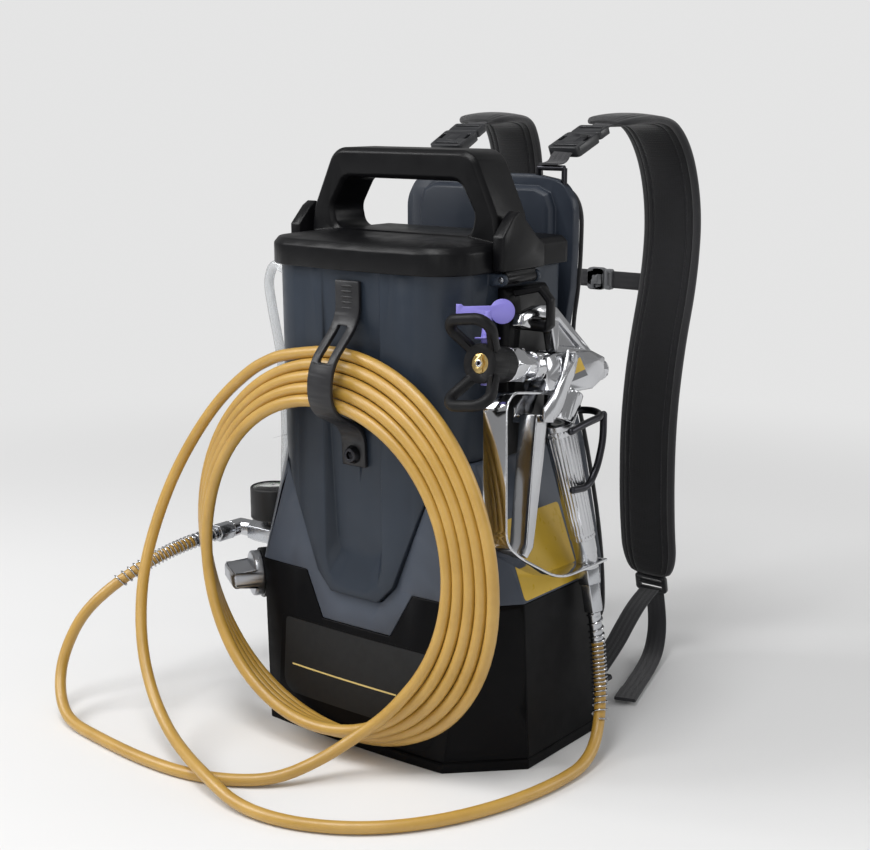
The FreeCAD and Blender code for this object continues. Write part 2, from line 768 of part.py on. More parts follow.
def gun_point(point):
    return gun_placement().multVec(point)


def base_outer():
    return loft([base_section(0), base_section(BASE_TOP_Z)])


def flare_outer():
    return loft([base_section(BASE_TOP_Z), flare_top_section()])


def tongue_profile(gap):
    top = lerp(TONGUE_HALF_W, TONGUE_TOP_HALF_W, (BASE_TOP_Z + 1 - TONGUE_Z) / (BASE_TOP_Z - TONGUE_Z))
    right = [(TONGUE_HALF_W + gap, TONGUE_Z - gap), (top + gap, BASE_TOP_Z + 1)]
    return front_profile(mirrored(right), BASE_FRONT_Y - 5, BASE_TOP_FRONT_Y + 30)


def knob_axis():
    a = math.radians(KNOB_TURN)
    return V(-math.sin(a), -math.cos(a), 0)


def battery_bay():
    half = BATTERY_GAP
    return box(-BASE_HALF_W - 5, -BASE_HALF_W + 12, BATTERY_Y[0] - half, BATTERY_Y[1] + half, BATTERY_Z[0] - half,
               BATTERY_Z[1] + half)


def switch_hole(gap):
    return box(-BASE_HALF_W - 5, -BASE_TOP_HALF_W + 10, SWITCH_Y - SWITCH_L / 2 - gap,
               SWITCH_Y + SWITCH_L / 2 + gap,
               SWITCH_Z - SWITCH_W / 2 - gap, SWITCH_Z + SWITCH_W / 2 + gap)


def gear_centre():
    reach = (PINION_TEETH + GEAR_TEETH) * GEAR_MODULE / 2 + MESH_GAP
    a = math.radians(GEAR_ANGLE)
    return MOTOR_Y + reach * math.cos(a), MOTOR_Z + reach * math.sin(a)


def stem_hole():
    start = V(-BASE_HALF_W - 5, OUTLET_Y, OUTLET_Z)
    return rod(start, start + V(40, 0, 0), OUTLET_STEM_R + SKIN_GAP)


def make_lower_housing():
    hollow = loft([base_section(FLOOR_T, HOUSING_WALL), base_section(BASE_TOP_Z + 1, HOUSING_WALL)])
    low, top = SKIRT_H, SKIRT_H + SKIRT_GROOVE_H
    ring = loft([base_section(low, -1), base_section(top, -1)])
    ring = ring.cut(loft([base_section(low - 1, SKIRT_GROOVE_DEPTH), base_section(top + 1, SKIRT_GROOVE_DEPTH)]))
    body = base_outer().cut(hollow).cut(ring).cut(tongue_profile(FLARE_GAP))
    ribs = []
    for x in (-POST_X, POST_X):
        for y in (POST_FRONT_Y, POST_BACK_Y):
            if x < 0 and y > 0:
                continue
            ribs.append(rod(V(x, y, FLOOR_T - 1), V(x, y, BASE_TOP_Z), POST_R))
    ribs.append(rod(V(0, POST_BACK_Y, FLOOR_T - 1), V(0, POST_BACK_Y, BASE_TOP_Z), POST_R))
    ribs.append(box(BLOCK_X[0] + 4, BLOCK_X[1] - 4, BLOCK_Y[0] + 12, BATTERY_Y[0] - 12, FLOOR_T - 1, BLOCK_Z[0]))
    for y in (BATTERY_Y[0] + 14, BATTERY_Y[1] - 14):
        ribs.append(box(-BASE_HALF_W + 6, -BASE_HALF_W + BATTERY_L, y - 4, y + 4, FLOOR_T - 1, BATTERY_Z[0] - SKIN_GAP))
    for x in (MOTOR_X + 10, MOTOR_X + MOTOR_L - 18):
        ribs.append(box(x, x + 8, MOTOR_Y - 18, MOTOR_Y + 18, FLOOR_T - 1, MOTOR_Z - MOTOR_R + 6))
    gear_y, gear_z = gear_centre()
    axle_x = GEAR_X + GEAR_W / 2 + END_GAP
    stand_end = axle_x + STAND_T
    ribs.append(box(axle_x, stand_end, gear_y - STAND_HALF_W, gear_y + STAND_HALF_W, FLOOR_T - 1, gear_z))
    ribs.append(rod(V(axle_x, gear_y, gear_z), V(stand_end, gear_y, gear_z), STAND_HALF_W))
    for x in (BOARD_X[0] + 6, BOARD_X[1] - 6):
        for y in (BOARD_Y[0] + 6, BOARD_Y[1] - 6):
            ribs.append(rod(V(x, y, FLOOR_T - 1), V(x, y, BOARD_Z), BOARD_POST_R))
    pin_half = SWITCH_W / 2 + SWITCH_PIN_SEAT
    switch_pin = rod(V(SWITCH_AXIS_X, SWITCH_Y, SWITCH_Z - pin_half), V(SWITCH_AXIS_X, SWITCH_Y, SWITCH_Z + pin_half),
                     SWITCH_PIN_R)
    body = fuse([body] + ribs)
    motor_bed = rod(V(MOTOR_X - 1, MOTOR_Y, MOTOR_Z), V(MOTOR_X + MOTOR_L + 1, MOTOR_Y, MOTOR_Z), MOTOR_R)
    axle = rod(V(axle_x - 1, gear_y, gear_z), V(stand_end + 1, gear_y, gear_z), AXLE_R + RUN_GAP)
    axis = knob_axis()
    shaft = rod(KNOB_CENTRE - axis * KNOB_SHAFT_L, KNOB_CENTRE + axis * COLLAR_T, KNOB_SHAFT_R + RUN_GAP)
    body = body.cut(motor_bed).cut(axle).cut(shaft).cut(stem_hole()).cut(battery_bay()).cut(switch_hole(SKIN_GAP))
    return fuse([body, switch_pin])


def make_flare_housing():
    inner = loft([base_section(BASE_TOP_Z, FLARE_WALL), flare_top_section(FLARE_WALL)])
    shell_clear = loft([shell_section(BASE_TOP_Z, -FLARE_GAP), shell_section(FLARE_TOP_Z + 1, -FLARE_GAP)])
    lip = flare_outer().common(box(-300, 300, -300, 300, FLARE_TOP_Z - FLARE_WALL, FLARE_TOP_Z)).cut(shell_clear)
    base_hollow = loft([base_section(TONGUE_Z - 1, HOUSING_WALL), base_section(BASE_TOP_Z + 1, HOUSING_WALL)])
    tongue = base_outer().cut(base_hollow).common(tongue_profile(0))
    rising = [(WINDOW_HALF_W, WINDOW_Z), (WINDOW_CHAMFER_HALF_W, WINDOW_CHAMFER_Z), (WINDOW_TOP_HALF_W, FLARE_TOP_Z + 1)]
    window = front_profile(mirrored(rising), BASE_FRONT_Y - 20, SHELL_APRON_Y)
    wall = flare_outer().cut(inner).cut(shell_clear)
    body = fuse([wall.cut(window), lip.cut(window), tongue.cut(window)])
    return body.cut(stem_hole()).cut(pipe(RETURN_PATH, RETURN_R + SKIN_GAP))


def upright_section(z, inset=0.0):
    # the shell's outline where its front doesn't slope back
    return round_outline(shell_half_w(z), SHELL_FRONT_Y, SHELL_BACK_Y, SHELL_CORNER, z, inset)


def upright_front():
    # what stands forward of the sloping face: in the flare's window, and over the whole width above the flare
    low, high = SHELL_APRON_Z, SHELL_TOP_Z
    forward = loft([upright_section(low), upright_section(high)]).cut(loft([shell_section(low, 1), shell_section(high, 1)]))
    step = FLARE_TOP_Z + FLARE_GAP
    rising = [(WINDOW_HALF_W - FRONT_GAP, WINDOW_Z + FRONT_GAP), (WINDOW_CHAMFER_HALF_W - FRONT_GAP, WINDOW_CHAMFER_Z),
              (WINDOW_TOP_HALF_W - 2 * FRONT_GAP, step), (BASE_HALF_W, step), (BASE_HALF_W, high + 1)]
    forward = forward.common(front_profile(mirrored(rising), BASE_FRONT_Y - 20, 0))
    rim = Part.makePolygon([V(x, CHANNEL_RIM_Y, z) for x, z in closed(mirrored(CHANNEL_RIM))])
    foot = Part.makePolygon([V(x, CHANNEL_FOOT_Y, z) for x, z in closed(mirrored(CHANNEL_FOOT))])
    return forward.cut(loft([rim, foot]))


def front_hollows():
    # each side of the upright front is open at the back
    room = loft([upright_section(SHELL_APRON_Z, SHELL_WALL), upright_section(SHELL_TOP_Z, SHELL_WALL)])
    right = front_profile(HOLLOW, SHELL_FRONT_Y - 5, SHELL_LOW_FRONT_Y + 10).common(room)
    return Part.makeCompound([right, flip(right)])


def make_upper_shell():
    deck = BASE_TOP_Z + SKIN_GAP
    outer = loft([shell_section(deck), shell_section(SHELL_TOP_Z)])
    inner = loft([shell_section(deck + SHELL_WALL, SHELL_WALL), shell_section(SHELL_TOP_Z + 1, SHELL_WALL)])
    apron = loft([shell_section(SHELL_APRON_Z), shell_section(deck)])
    apron = apron.cut(loft([shell_section(SHELL_APRON_Z - 1, SHELL_WALL), shell_section(deck + 1, SHELL_WALL)]))
    apron = apron.common(box(-60, 60, -300, SHELL_APRON_Y, SHELL_APRON_Z, deck))
    ears = []
    pin_x = SHELL_HALF_W + LATCH_PIN_OUT
    for side in (-1, 1):
        for y in (LATCH_KNUCKLE_HALF_W + END_GAP, -LATCH_KNUCKLE_HALF_W - END_GAP - EAR_T):
            ear = rod(V(side * pin_x, y, LATCH_PIN_Z), V(side * pin_x, y + EAR_T, LATCH_PIN_Z), EAR_R)
            arm = box(min(side * (SHELL_HALF_W - 2), side * pin_x), max(side * (SHELL_HALF_W - 2), side * pin_x),
                      y, y + EAR_T, LATCH_PIN_Z - EAR_R, LATCH_PIN_Z + EAR_R - 0.5)
            ears += [ear, arm]
    body = fuse([outer.cut(inner), apron, upright_front()] + ears).cut(front_hollows())
    for side in (-1, 1):
        body = body.cut(rod(V(side * pin_x, -60, LATCH_PIN_Z), V(side * pin_x, 60, LATCH_PIN_Z), LATCH_PIN_R))
    spout = rod(V(spout_x(), gear_centre()[0], deck - 1), V(spout_x(), gear_centre()[0], deck + 10), TANK_OUTLET_R + SKIN_GAP)
    screw = rod(V(0, -140, KEEPER_SCREW_Z), V(0, -SHELL_CORNER, KEEPER_SCREW_Z), SCREW_R)
    tube_hole = pipe(RETURN_PATH, RETURN_R + SKIN_GAP)
    return body.cut(spout).cut(screw).cut(tube_hole).cut(inner)


def make_lid():
    rim = loft([lid_section(LID_RIM_Z), lid_section(LID_EDGE_Z)])
    bevel = loft([lid_section(LID_EDGE_Z), lid_section(LID_TOP_Z, LID_BEVEL)])
    crown = loft([lid_section(LID_TOP_Z, LID_BEVEL), lid_section(LID_TOP_Z + LID_CROWN, LID_CROWN_INSET)])
    roof = LID_TOP_Z - LID_ROOF
    inner = loft([lid_section(LID_RIM_Z - 1, LID_WALL), lid_section(roof, LID_WALL)])
    right = [(HANDLE_FOOT_HALF_W, LID_EDGE_Z - 8), (HANDLE_FOOT_HALF_W, LID_TOP_Z + 4), (SHELL_HALF_W, HANDLE_ELBOW_Z),
             (HANDLE_CROWN_HALF_W, HANDLE_TOP_Z)]
    arch = rounded_profile(mirrored(right), HANDLE_CORNER, HANDLE_FRONT_Y, HANDLE_BACK_Y)
    hole = [(HAND_FOOT_HALF_W, HAND_LOW_Z), (HAND_HALF_W, HAND_WIDE_Z), (HAND_TOP_HALF_W, HAND_TOP_Z)]
    arch = arch.cut(rounded_profile(mirrored(hole), HAND_CORNER, HANDLE_FRONT_Y - 5, HANDLE_BACK_Y + 5))
    arch = arch.makeChamfer(HANDLE_EDGE, [e for e in arch.Edges if is_arch_edge(e)])
    return fuse([rim, bevel, crown, arch]).cut(inner)


def is_arch_edge(edge):
    # edges of the handle's front and back faces, above the lid
    ends = [v.Point for v in edge.Vertexes]
    flat = abs(ends[0].y - ends[-1].y) < 0.01
    at_face = min(abs(ends[0].y - HANDLE_FRONT_Y), abs(ends[0].y - HANDLE_BACK_Y)) < 0.01
    return flat and at_face and min(p.z for p in ends) > LID_TOP_Z + LID_CROWN


def make_lid_seal():
    low = SHELL_TOP_Z + SKIN_GAP
    outer = Part.Face(shell_section(SHELL_TOP_Z)).extrude(V(0, 0, SEAL_H))
    inner = Part.Face(shell_section(SHELL_TOP_Z, SEAL_W)).extrude(V(0, 0, SEAL_H))
    seal = outer.cut(inner)
    seal.translate(V(0, 0, low - SHELL_TOP_Z))
    return seal


def make_latch():
    x0 = SHELL_HALF_W + LID_OVERHANG + LATCH_GAP
    x1 = x0 + LATCH_THICK
    pin_x = SHELL_HALF_W + LATCH_PIN_OUT
    side = [(LATCH_FRONT_Y, LATCH_LOW_Z), (LATCH_BACK_Y, LATCH_LOW_Z), (LATCH_BACK_Y, LATCH_BACK_TOP_Z - 6),
            (LATCH_BACK_Y - 11, LATCH_BACK_TOP_Z), (LATCH_CREST_Y, LATCH_TOP_Z), (LATCH_FRONT_Y + 18, LATCH_BEVEL_Z),
            (LATCH_FRONT_Y, LATCH_BACK_TOP_Z + 4)]
    block = side_profile(side, x0, x1)
    knuckle = rod(V(pin_x, -LATCH_KNUCKLE_HALF_W, LATCH_PIN_Z), V(pin_x, LATCH_KNUCKLE_HALF_W, LATCH_PIN_Z),
                  LATCH_KNUCKLE_R)
    neck = box(pin_x - 3, pin_x + 3, -LATCH_KNUCKLE_HALF_W, LATCH_KNUCKLE_HALF_W, LATCH_PIN_Z, LATCH_LOW_Z + 1)
    latch = fuse([block, knuckle, neck])
    return latch.cut(rod(V(pin_x, -60, LATCH_PIN_Z), V(pin_x, 60, LATCH_PIN_Z), LATCH_PIN_R + RUN_GAP))


def make_latch_pins():
    x = SHELL_HALF_W + LATCH_PIN_OUT
    half = LATCH_KNUCKLE_HALF_W + END_GAP + EAR_T
    pin = rod(V(x, -half, LATCH_PIN_Z), V(x, half, LATCH_PIN_Z), LATCH_PIN_R)
    return Part.makeCompound([pin, flip(pin)])


def make_back_plate():
    plate = rounded_profile(mirrored(PLATE_OUTLINE), PLATE_CORNER, PLATE_SKIN_Y, PLATE_BACK_Y)
    corner = PLATE_PANEL_CORNER
    k = corner * (1 - math.sqrt(0.5))
    panel_side = [(PLATE_PANEL_HALF_W, PLATE_PANEL_LOW_Z), (PLATE_PANEL_HALF_W, PLATE_PANEL_TOP_Z - corner),
                  (PLATE_PANEL_HALF_W - k, PLATE_PANEL_TOP_Z - k), (PLATE_PANEL_HALF_W - corner, PLATE_PANEL_TOP_Z)]
    panel = front_profile(mirrored(panel_side), PLATE_FRONT_Y, PLATE_SKIN_Y + 1)
    edge = [e for e in panel.Edges if all(abs(v.Point.y - PLATE_FRONT_Y) < 0.01 for v in e.Vertexes)]
    pieces = [plate, panel.makeChamfer(PLATE_PANEL_BEVEL, edge)]
    for x in (-PLATE_BOSS_X, PLATE_BOSS_X):
        for z in PLATE_BOSS_Z:
            start = SHELL_BACK_Y if z > FLARE_TOP_Z else BASE_BACK_Y
            pieces.append(rod(V(x, start + SKIN_GAP, z), V(x, PLATE_SKIN_Y, z), PLATE_BOSS_R))
        for z in PLATE_FOOT_Z:
            pieces.append(rod(V(x, BASE_BACK_Y + SKIN_GAP, z), V(x, PLATE_SKIN_Y, z), PLATE_BOSS_R))
    return fuse(pieces).cut(make_webbing_anchors())


def make_back_pad():
    right = [(x - PAD_INSET, z) for x, z in PLATE_OUTLINE if PAD_LOW_Z <= z < PLATE_OUTLINE[-2][1]]
    right.append((PLATE_OUTLINE[-2][0] - 12, PLATE_OUTLINE[-2][1] - 4))
    back = PLATE_BACK_Y + PAD_T
    pad = front_profile(mirrored(right), PLATE_BACK_Y + SKIN_GAP, back)
    half = max(x for x, z in right)
    low, top = PAD_LOW_Z - 5, PLATE_OUTLINE[-1][1] + 5
    crown = Part.Arc(V(half + 1, PLATE_BACK_Y + PAD_EDGE_T, low), V(0, back, low),
                     V(-half - 1, PLATE_BACK_Y + PAD_EDGE_T, low)).toShape()
    rim = Part.makePolygon([V(-half - 1, PLATE_BACK_Y + PAD_EDGE_T, low), V(-half - 1, PLATE_BACK_Y, low),
                            V(half + 1, PLATE_BACK_Y, low), V(half + 1, PLATE_BACK_Y + PAD_EDGE_T, low)])
    pad = pad.common(Part.Face(Part.Wire(crown.Edges + rim.Edges)).extrude(V(0, 0, top - low)))
    for z in PAD_CHANNEL_Z:
        pad = pad.cut(rod(V(-half - 5, back, z), V(half + 5, back, z), PAD_CHANNEL_R))
    return pad


def make_gun_rail():
    inner = [(shell_half_w(RAIL_LOW_Z) + SKIN_GAP, RAIL_LOW_Z), (RAIL_OUT_X, RAIL_LOW_Z), (RAIL_OUT_X, RAIL_TOP_Z - 6),
             (RAIL_OUT_X - 5, RAIL_TOP_Z), (shell_half_w(RAIL_TOP_Z) + SKIN_GAP, RAIL_TOP_Z)]
    plate = front_profile(inner, RAIL_FRONT_Y, RAIL_BACK_Y)
    y0, y1 = LOOP_Y - LOOP_W / 2, LOOP_Y + LOOP_W / 2
    low = LOOP_SEAT_Z - LOOP_SEAT_T
    frame = [(RAIL_OUT_X - 6, low), (LOOP_OUT_X - 6, low), (LOOP_OUT_X, low + 6), (LOOP_OUT_X, LOOP_TOP_Z - 12),
             (LOOP_OUT_X - 12, LOOP_TOP_Z), (RAIL_OUT_X - 6, LOOP_TOP_Z - 6)]
    opening = [(RAIL_OUT_X, LOOP_SEAT_Z), (LOOP_OUT_X - LOOP_T, LOOP_SEAT_Z), (LOOP_OUT_X - LOOP_T, LOOP_TOP_Z - 15),
               (LOOP_OUT_X - 15, LOOP_TOP_Z - LOOP_T), (RAIL_OUT_X, LOOP_TOP_Z - LOOP_T - 6)]
    loop = front_profile(frame, y0, y1).cut(front_profile(opening, y0 - 1, y1 + 1))
    return fuse([plate, loop])


def make_gun_holder():
    ends = [Part.makeSphere(CLIP_BAR_R, end) for end in (CLIP_ARM[-1], CLIP_DROP[0], CLIP_DROP[-1])]
    return fuse([pipe(CLIP_ARM, CLIP_BAR_R), pipe(CLIP_DROP, CLIP_BAR_R)] + ends).cut(make_gun_rail())


def keeper_y(z):
    return shell_front(z) - SKIN_GAP - KEEPER_T / 2


def make_hose_strap():
    points = [V(0, keeper_y(KEEPER_LOW_Z), KEEPER_LOW_Z), V(0, keeper_y(KEEPER_BEND_Z), KEEPER_BEND_Z),
              V(0, KEEPER_BELLY_Y, KEEPER_BELLY_LOW_Z), V(0, KEEPER_BELLY_Y, KEEPER_BELLY_TOP_Z),
              V(0, keeper_y(KEEPER_TAB_Z) - 1, KEEPER_TAB_Z), V(0, keeper_y(KEEPER_TOP_Z), KEEPER_TOP_Z)]
    band = strip(points, KEEPER_W, KEEPER_T)
    slot = box(-KEEPER_SLOT_W / 2, KEEPER_SLOT_W / 2, -200, 0, KEEPER_SLOT_Z[0], KEEPER_SLOT_Z[1])
    hole = rod(V(0, -200, KEEPER_SCREW_Z), V(0, 0, KEEPER_SCREW_Z), SCREW_R + RUN_GAP)
    return band.cut(slot).cut(hole)


def make_strap_screw():
    face = keeper_y(KEEPER_SCREW_Z) - KEEPER_T / 2 - SKIN_GAP
    head = cone(V(0, face, KEEPER_SCREW_Z), V(0, face - SCREW_HEAD_H, KEEPER_SCREW_Z), SCREW_HEAD_R, SCREW_HEAD_TOP_R)
    socket = hexagon(V(0, face - SCREW_HEAD_H - 1, KEEPER_SCREW_Z), V(0, face - 2, KEEPER_SCREW_Z), SCREW_SOCKET_R)
    shank = rod(V(0, face, KEEPER_SCREW_Z), V(0, shell_front(KEEPER_SCREW_Z) + SHELL_WALL - 0.2, KEEPER_SCREW_Z), SCREW_R)
    return fuse([head.cut(socket), shank])


def make_shoulder_pad():
    # a wide band whose outer face is crowned
    points = SHOULDER_PATH
    path = Part.Wire(corner_arcs(points)[0])
    along = unit(points[1] - points[0])
    side = unit(V(1, 0, 0) - along * along.x)
    up = along.cross(side)
    half, low, edge = STRAP_PAD_W / 2, STRAP_PAD_T / 2, STRAP_PAD_T * 0.28
    a, b = points[0] - side * half, points[0] + side * half
    section = Part.Wire([
        Part.Arc(a + up * edge, points[0] + up * low, b + up * edge).toShape(),
        Part.LineSegment(b + up * edge, b - up * edge).toShape(),
        Part.Arc(b - up * edge, points[0] - up * low, a - up * edge).toShape(),
        Part.LineSegment(a - up * edge, a + up * edge).toShape(),
    ])
    return path.makePipeShell([section], True, False)


def oriented_box(centre, along, length, width, thickness):
    # a block whose length runs along a direction and whose width stays level
    x = unit(along)
    y = unit(V(0, 0, 1).cross(x))
    z = x.cross(y)
    turn = FreeCAD.Rotation(x, y, z, "XYZ")
    shape = Part.makeBox(length, width, thickness, V(-length / 2, -width / 2, -thickness / 2))
    shape.Placement = FreeCAD.Placement(centre, turn)
    return shape


def buckle_ends():
    along = unit(SHOULDER_PATH[0] - SHOULDER_BUCKLE)
    return SHOULDER_BUCKLE - along * BUCKLE_L / 2, SHOULDER_BUCKLE + along * BUCKLE_L / 2


def make_harness_webbing():
    low_end, top_end = buckle_ends()
    over = SHOULDER_ANCHOR + V(0, 0, ANCHOR_R + WEB_T / 2 + SKIN_GAP)
    pieces = [strip([over - V(0, 6, 0), over + V(0, 12, 0), low_end], WEB_W, WEB_T),
              strip([top_end, SHOULDER_PATH[0]], WEB_W, WEB_T),
              strip(LOWER_WEB, WEB_W, WEB_T),
              strip(TAIL_WEB, WEB_W, WEB_T)]
    hardware = Part.makeCompound([make_shoulder_buckles(), make_ladder_locks(), make_shoulder_pad()])
    pieces = [p.cut(hardware) for p in pieces]
    pieces += [flip(p) for p in pieces]
    y = sternum_y()
    edge = sternum_edge()
    for x0, x1 in ((-edge, STERNUM_BUCKLE_X[0]), (STERNUM_BUCKLE_X[1], edge)):
        pieces.append(box(x0, x1, y - WEB_T / 2, y + WEB_T / 2, STERNUM_Z - STERNUM_W / 2, STERNUM_Z + STERNUM_W / 2))
    return Part.makeCompound(pieces)


def sternum_y():
    a, b = SHOULDER_PATH[4], SHOULDER_PATH[5]
    return lerp(a.y, b.y, (a.z - STERNUM_Z) / (a.z - b.z))


def sternum_edge():
    return SHOULDER_PATH[4].x - STRAP_PAD_W / 2 + STERNUM_SEAT


def make_shoulder_buckles():
    along = SHOULDER_PATH[0] - SHOULDER_BUCKLE
    buckle = oriented_box(SHOULDER_BUCKLE, along, BUCKLE_L, BUCKLE_W, BUCKLE_T)
    return Part.makeCompound([buckle, flip(buckle)])


def make_ladder_locks():
    end = SHOULDER_PATH[-1]
    down = unit(SHOULDER_PATH[-1] - SHOULDER_PATH[-2])
    lock = oriented_box(end + down * (LOCK_L / 2), down, LOCK_L, BUCKLE_W, LOCK_T)
    return Part.makeCompound([lock, flip(lock)])


def make_sternum_buckle():
    y = sternum_y()
    x0, x1 = STERNUM_BUCKLE_X
    half = STERNUM_W / 2 + 3
    return box(x0, x1, y - STERNUM_BUCKLE_T / 2, y + STERNUM_BUCKLE_T / 2, STERNUM_Z - half, STERNUM_Z + half)


def make_webbing_anchors():
    half = WEB_W / 2 + ANCHOR_R + 1
    a = SHOULDER_ANCHOR
    pieces = []
    for x in (a.x - half, a.x + half):
        pieces.append(rod(V(x, PLATE_BACK_Y - 6, a.z - 24), V(x, PLATE_BACK_Y - 6, a.z), ANCHOR_R))
    bar = rod(V(a.x - half, PLATE_BACK_Y - 6, a.z), V(a.x + half, PLATE_BACK_Y - 6, a.z), ANCHOR_R)
    top = fuse(pieces + [bar])
    b = LOWER_ANCHOR
    legs = [rod(V(x, PLATE_BACK_Y, b.z), V(x, b.y, b.z), ANCHOR_R) for x in (b.x - half, b.x + half)]
    cross = rod(V(b.x - half, b.y, b.z), V(b.x + half, b.y, b.z), ANCHOR_R)
    low = fuse(legs + [cross])
    return Part.makeCompound([top, low, flip(top), flip(low)])


def make_outlet_union():
    hexed = hexagon(V(OUTLET_HEX_X, OUTLET_Y, OUTLET_Z), V(OUTLET_END_X, OUTLET_Y, OUTLET_Z), OUTLET_HEX_R)
    stem = rod(V(OUTLET_HEX_X, OUTLET_Y, OUTLET_Z), V(BLOCK_X[0] + STEM_DEPTH, OUTLET_Y, OUTLET_Z), OUTLET_STEM_R)
    return fuse([hexed, stem])


def make_outlet_elbow():
    corner = V(ELBOW_X, OUTLET_Y, OUTLET_Z)
    across = rod(V(OUTLET_END_X, OUTLET_Y, OUTLET_Z), corner, ELBOW_R)
    forward = rod(corner, corner - V(0, ELBOW_LEG, 0), ELBOW_R)
    return fuse([across, Part.makeSphere(ELBOW_R, corner), forward])


def make_gauge_case():
    x, y = GAUGE_X, OUTLET_Y
    cup = rod(V(x, y, GAUGE_LOW_Z), V(x, y, GAUGE_TOP_Z), GAUGE_R)
    rim = [e for e in cup.Edges if abs(e.BoundBox.ZMin - e.BoundBox.ZMax) < 0.01]
    cup = cup.makeChamfer(GAUGE_EDGE, rim)
    recess = rod(V(x, y, GAUGE_TOP_Z - GAUGE_DEPTH), V(x, y, GAUGE_TOP_Z + 1), GAUGE_R - GAUGE_WALL)
    stem = rod(V(x, y, OUTLET_Z), V(x, y, GAUGE_LOW_Z), GAUGE_STEM_R)
    return fuse([cup.cut(recess), stem]).cut(make_outlet_union())


def make_gauge_dial():
    low = GAUGE_TOP_Z - GAUGE_DEPTH
    disc = rod(V(GAUGE_X, OUTLET_Y, low), V(GAUGE_X, OUTLET_Y, low + DIAL_T), GAUGE_R - GAUGE_WALL)
    pin = rod(V(GAUGE_X, OUTLET_Y, low), V(GAUGE_X, OUTLET_Y, GAUGE_TOP_Z - 2), NEEDLE_PIN_R)
    return fuse([disc, pin])


def make_gauge_needle():
    # points to the zero of its scale, at the left front
    low = GAUGE_TOP_Z - GAUGE_DEPTH + DIAL_T + END_GAP
    hub = rod(V(0, 0, low), V(0, 0, low + 2 * NEEDLE_T), NEEDLE_HUB_R)
    hand = front_profile([(-NEEDLE_W / 2, low), (NEEDLE_W / 2, low), (NEEDLE_W / 2, low + NEEDLE_T),
                          (-NEEDLE_W / 2, low + NEEDLE_T)], -NEEDLE_L, NEEDLE_HUB_R * 2)
    needle = fuse([hub, hand]).cut(rod(V(0, 0, low - 1), V(0, 0, low + 5), NEEDLE_PIN_R + RUN_GAP))
    needle.rotate(V(0, 0, 0), V(0, 0, 1), -NEEDLE_ZERO)
    needle.translate(V(GAUGE_X, OUTLET_Y, 0))
    return needle


def knob_point(distance):
    return KNOB_CENTRE + knob_axis() * distance


def make_pressure_knob():
    low = COLLAR_T + SKIN_GAP
    disc = rod(knob_point(low), knob_point(low + KNOB_DISC_T), KNOB_R)
    rim = [e for e in disc.Edges if (e.CenterOfMass - knob_point(low + KNOB_DISC_T)).Length < 0.1]
    disc = disc.makeChamfer(KNOB_EDGE, rim)
    grip = oriented_box(knob_point(low + (KNOB_DISC_T + KNOB_GRIP_H) / 2), knob_axis(), KNOB_DISC_T + KNOB_GRIP_H,
                        2 * KNOB_R, KNOB_GRIP_T)
    grip = grip.makeChamfer(KNOB_GRIP_EDGE, grip.Faces[1].Edges)
    grip = grip.common(rod(knob_point(0), knob_point(low + KNOB_DISC_T + KNOB_GRIP_H + 1), KNOB_R))
    shaft = rod(knob_point(-KNOB_SHAFT_L), knob_point(low + 1), KNOB_SHAFT_R)
    return fuse([disc, grip.cut(rod(knob_point(0), knob_point(low), KNOB_R + 1)), shaft])


def make_knob_collar():
    ring = rod(knob_point(-KNOB_SHAFT_L / 2), knob_point(COLLAR_T), COLLAR_R)
    ring = ring.cut(rod(knob_point(-KNOB_SHAFT_L), knob_point(COLLAR_T + 1), KNOB_SHAFT_R + RUN_GAP))
    return ring.cut(base_outer()).cut(flare_outer())


def make_return_tube():
    inside = loft([shell_section(RETURN_PATH[0].z - 50, SHELL_WALL), shell_section(SHELL_TOP_Z, SHELL_WALL)])
    block = box(BLOCK_X[0], BLOCK_X[1], BLOCK_Y[0], BLOCK_Y[1], BLOCK_Z[0], BLOCK_Z[1])
    return pipe(RETURN_PATH, RETURN_R).cut(inside).cut(block)


def coil_direction(angle):
    return unit(coil_place(angle + 0.05) - coil_place(angle - 0.05))


def hose_foot():
    # where the hose leaves the gun's swivel, and the way it points there
    aim = unit(SWIVEL_AIM)
    foot = gun_point(GRIP_FOOT + aim * (NECK_L + COLLAR_NUT_L + SWIVEL_L + SKIN_GAP))
    return foot, unit(foot - gun_point(GRIP_FOOT))


def lead_points():
    start, along = coil_place(COIL_START), coil_direction(COIL_START)
    return LEAD_PATH + [start - along * 44, start]


def tail_points():
    start, along = coil_place(COIL_END), coil_direction(COIL_END)
    foot, down = hose_foot()
    return [start, start + along * 24] + TAIL_PATH + [foot + down * 24, foot]


def make_hose_lead():
    return tube(lead_points(), HOSE_R, "hose_lead")


def make_hose_coil():
    return wound_tube(coil_place, COIL_START, COIL_END, COIL_STEPS, 4, HOSE_R, "hose_coil")


def make_hose_tail():
    return tube(tail_points(), HOSE_R, "hose_tail")


def make_hose_springs():
    left = spring(lead_points(), SPRING_START, LEFT_SPRING_L, "hose_springs left")
    right = spring(tail_points()[::-1], SPRING_START, RIGHT_SPRING_L, "hose_springs right")
    return Part.makeCompound([left, right])


def make_hose_end_nuts():
    left = hexagon(HOSE_EXIT + V(0, NUT_L, 0), HOSE_EXIT + V(0, SKIN_GAP, 0), NUT_R)
    aim = unit(SWIVEL_AIM)
    top = GRIP_FOOT + aim * NECK_L
    nut = hexagon(top, top + aim * COLLAR_NUT_L, COLLAR_NUT_R)
    spigot = rod(top + aim * COLLAR_NUT_L, top + aim * (COLLAR_NUT_L + SPIGOT_L), SPIGOT_R)
    return Part.makeCompound([left, hang(fuse([nut, spigot]))])


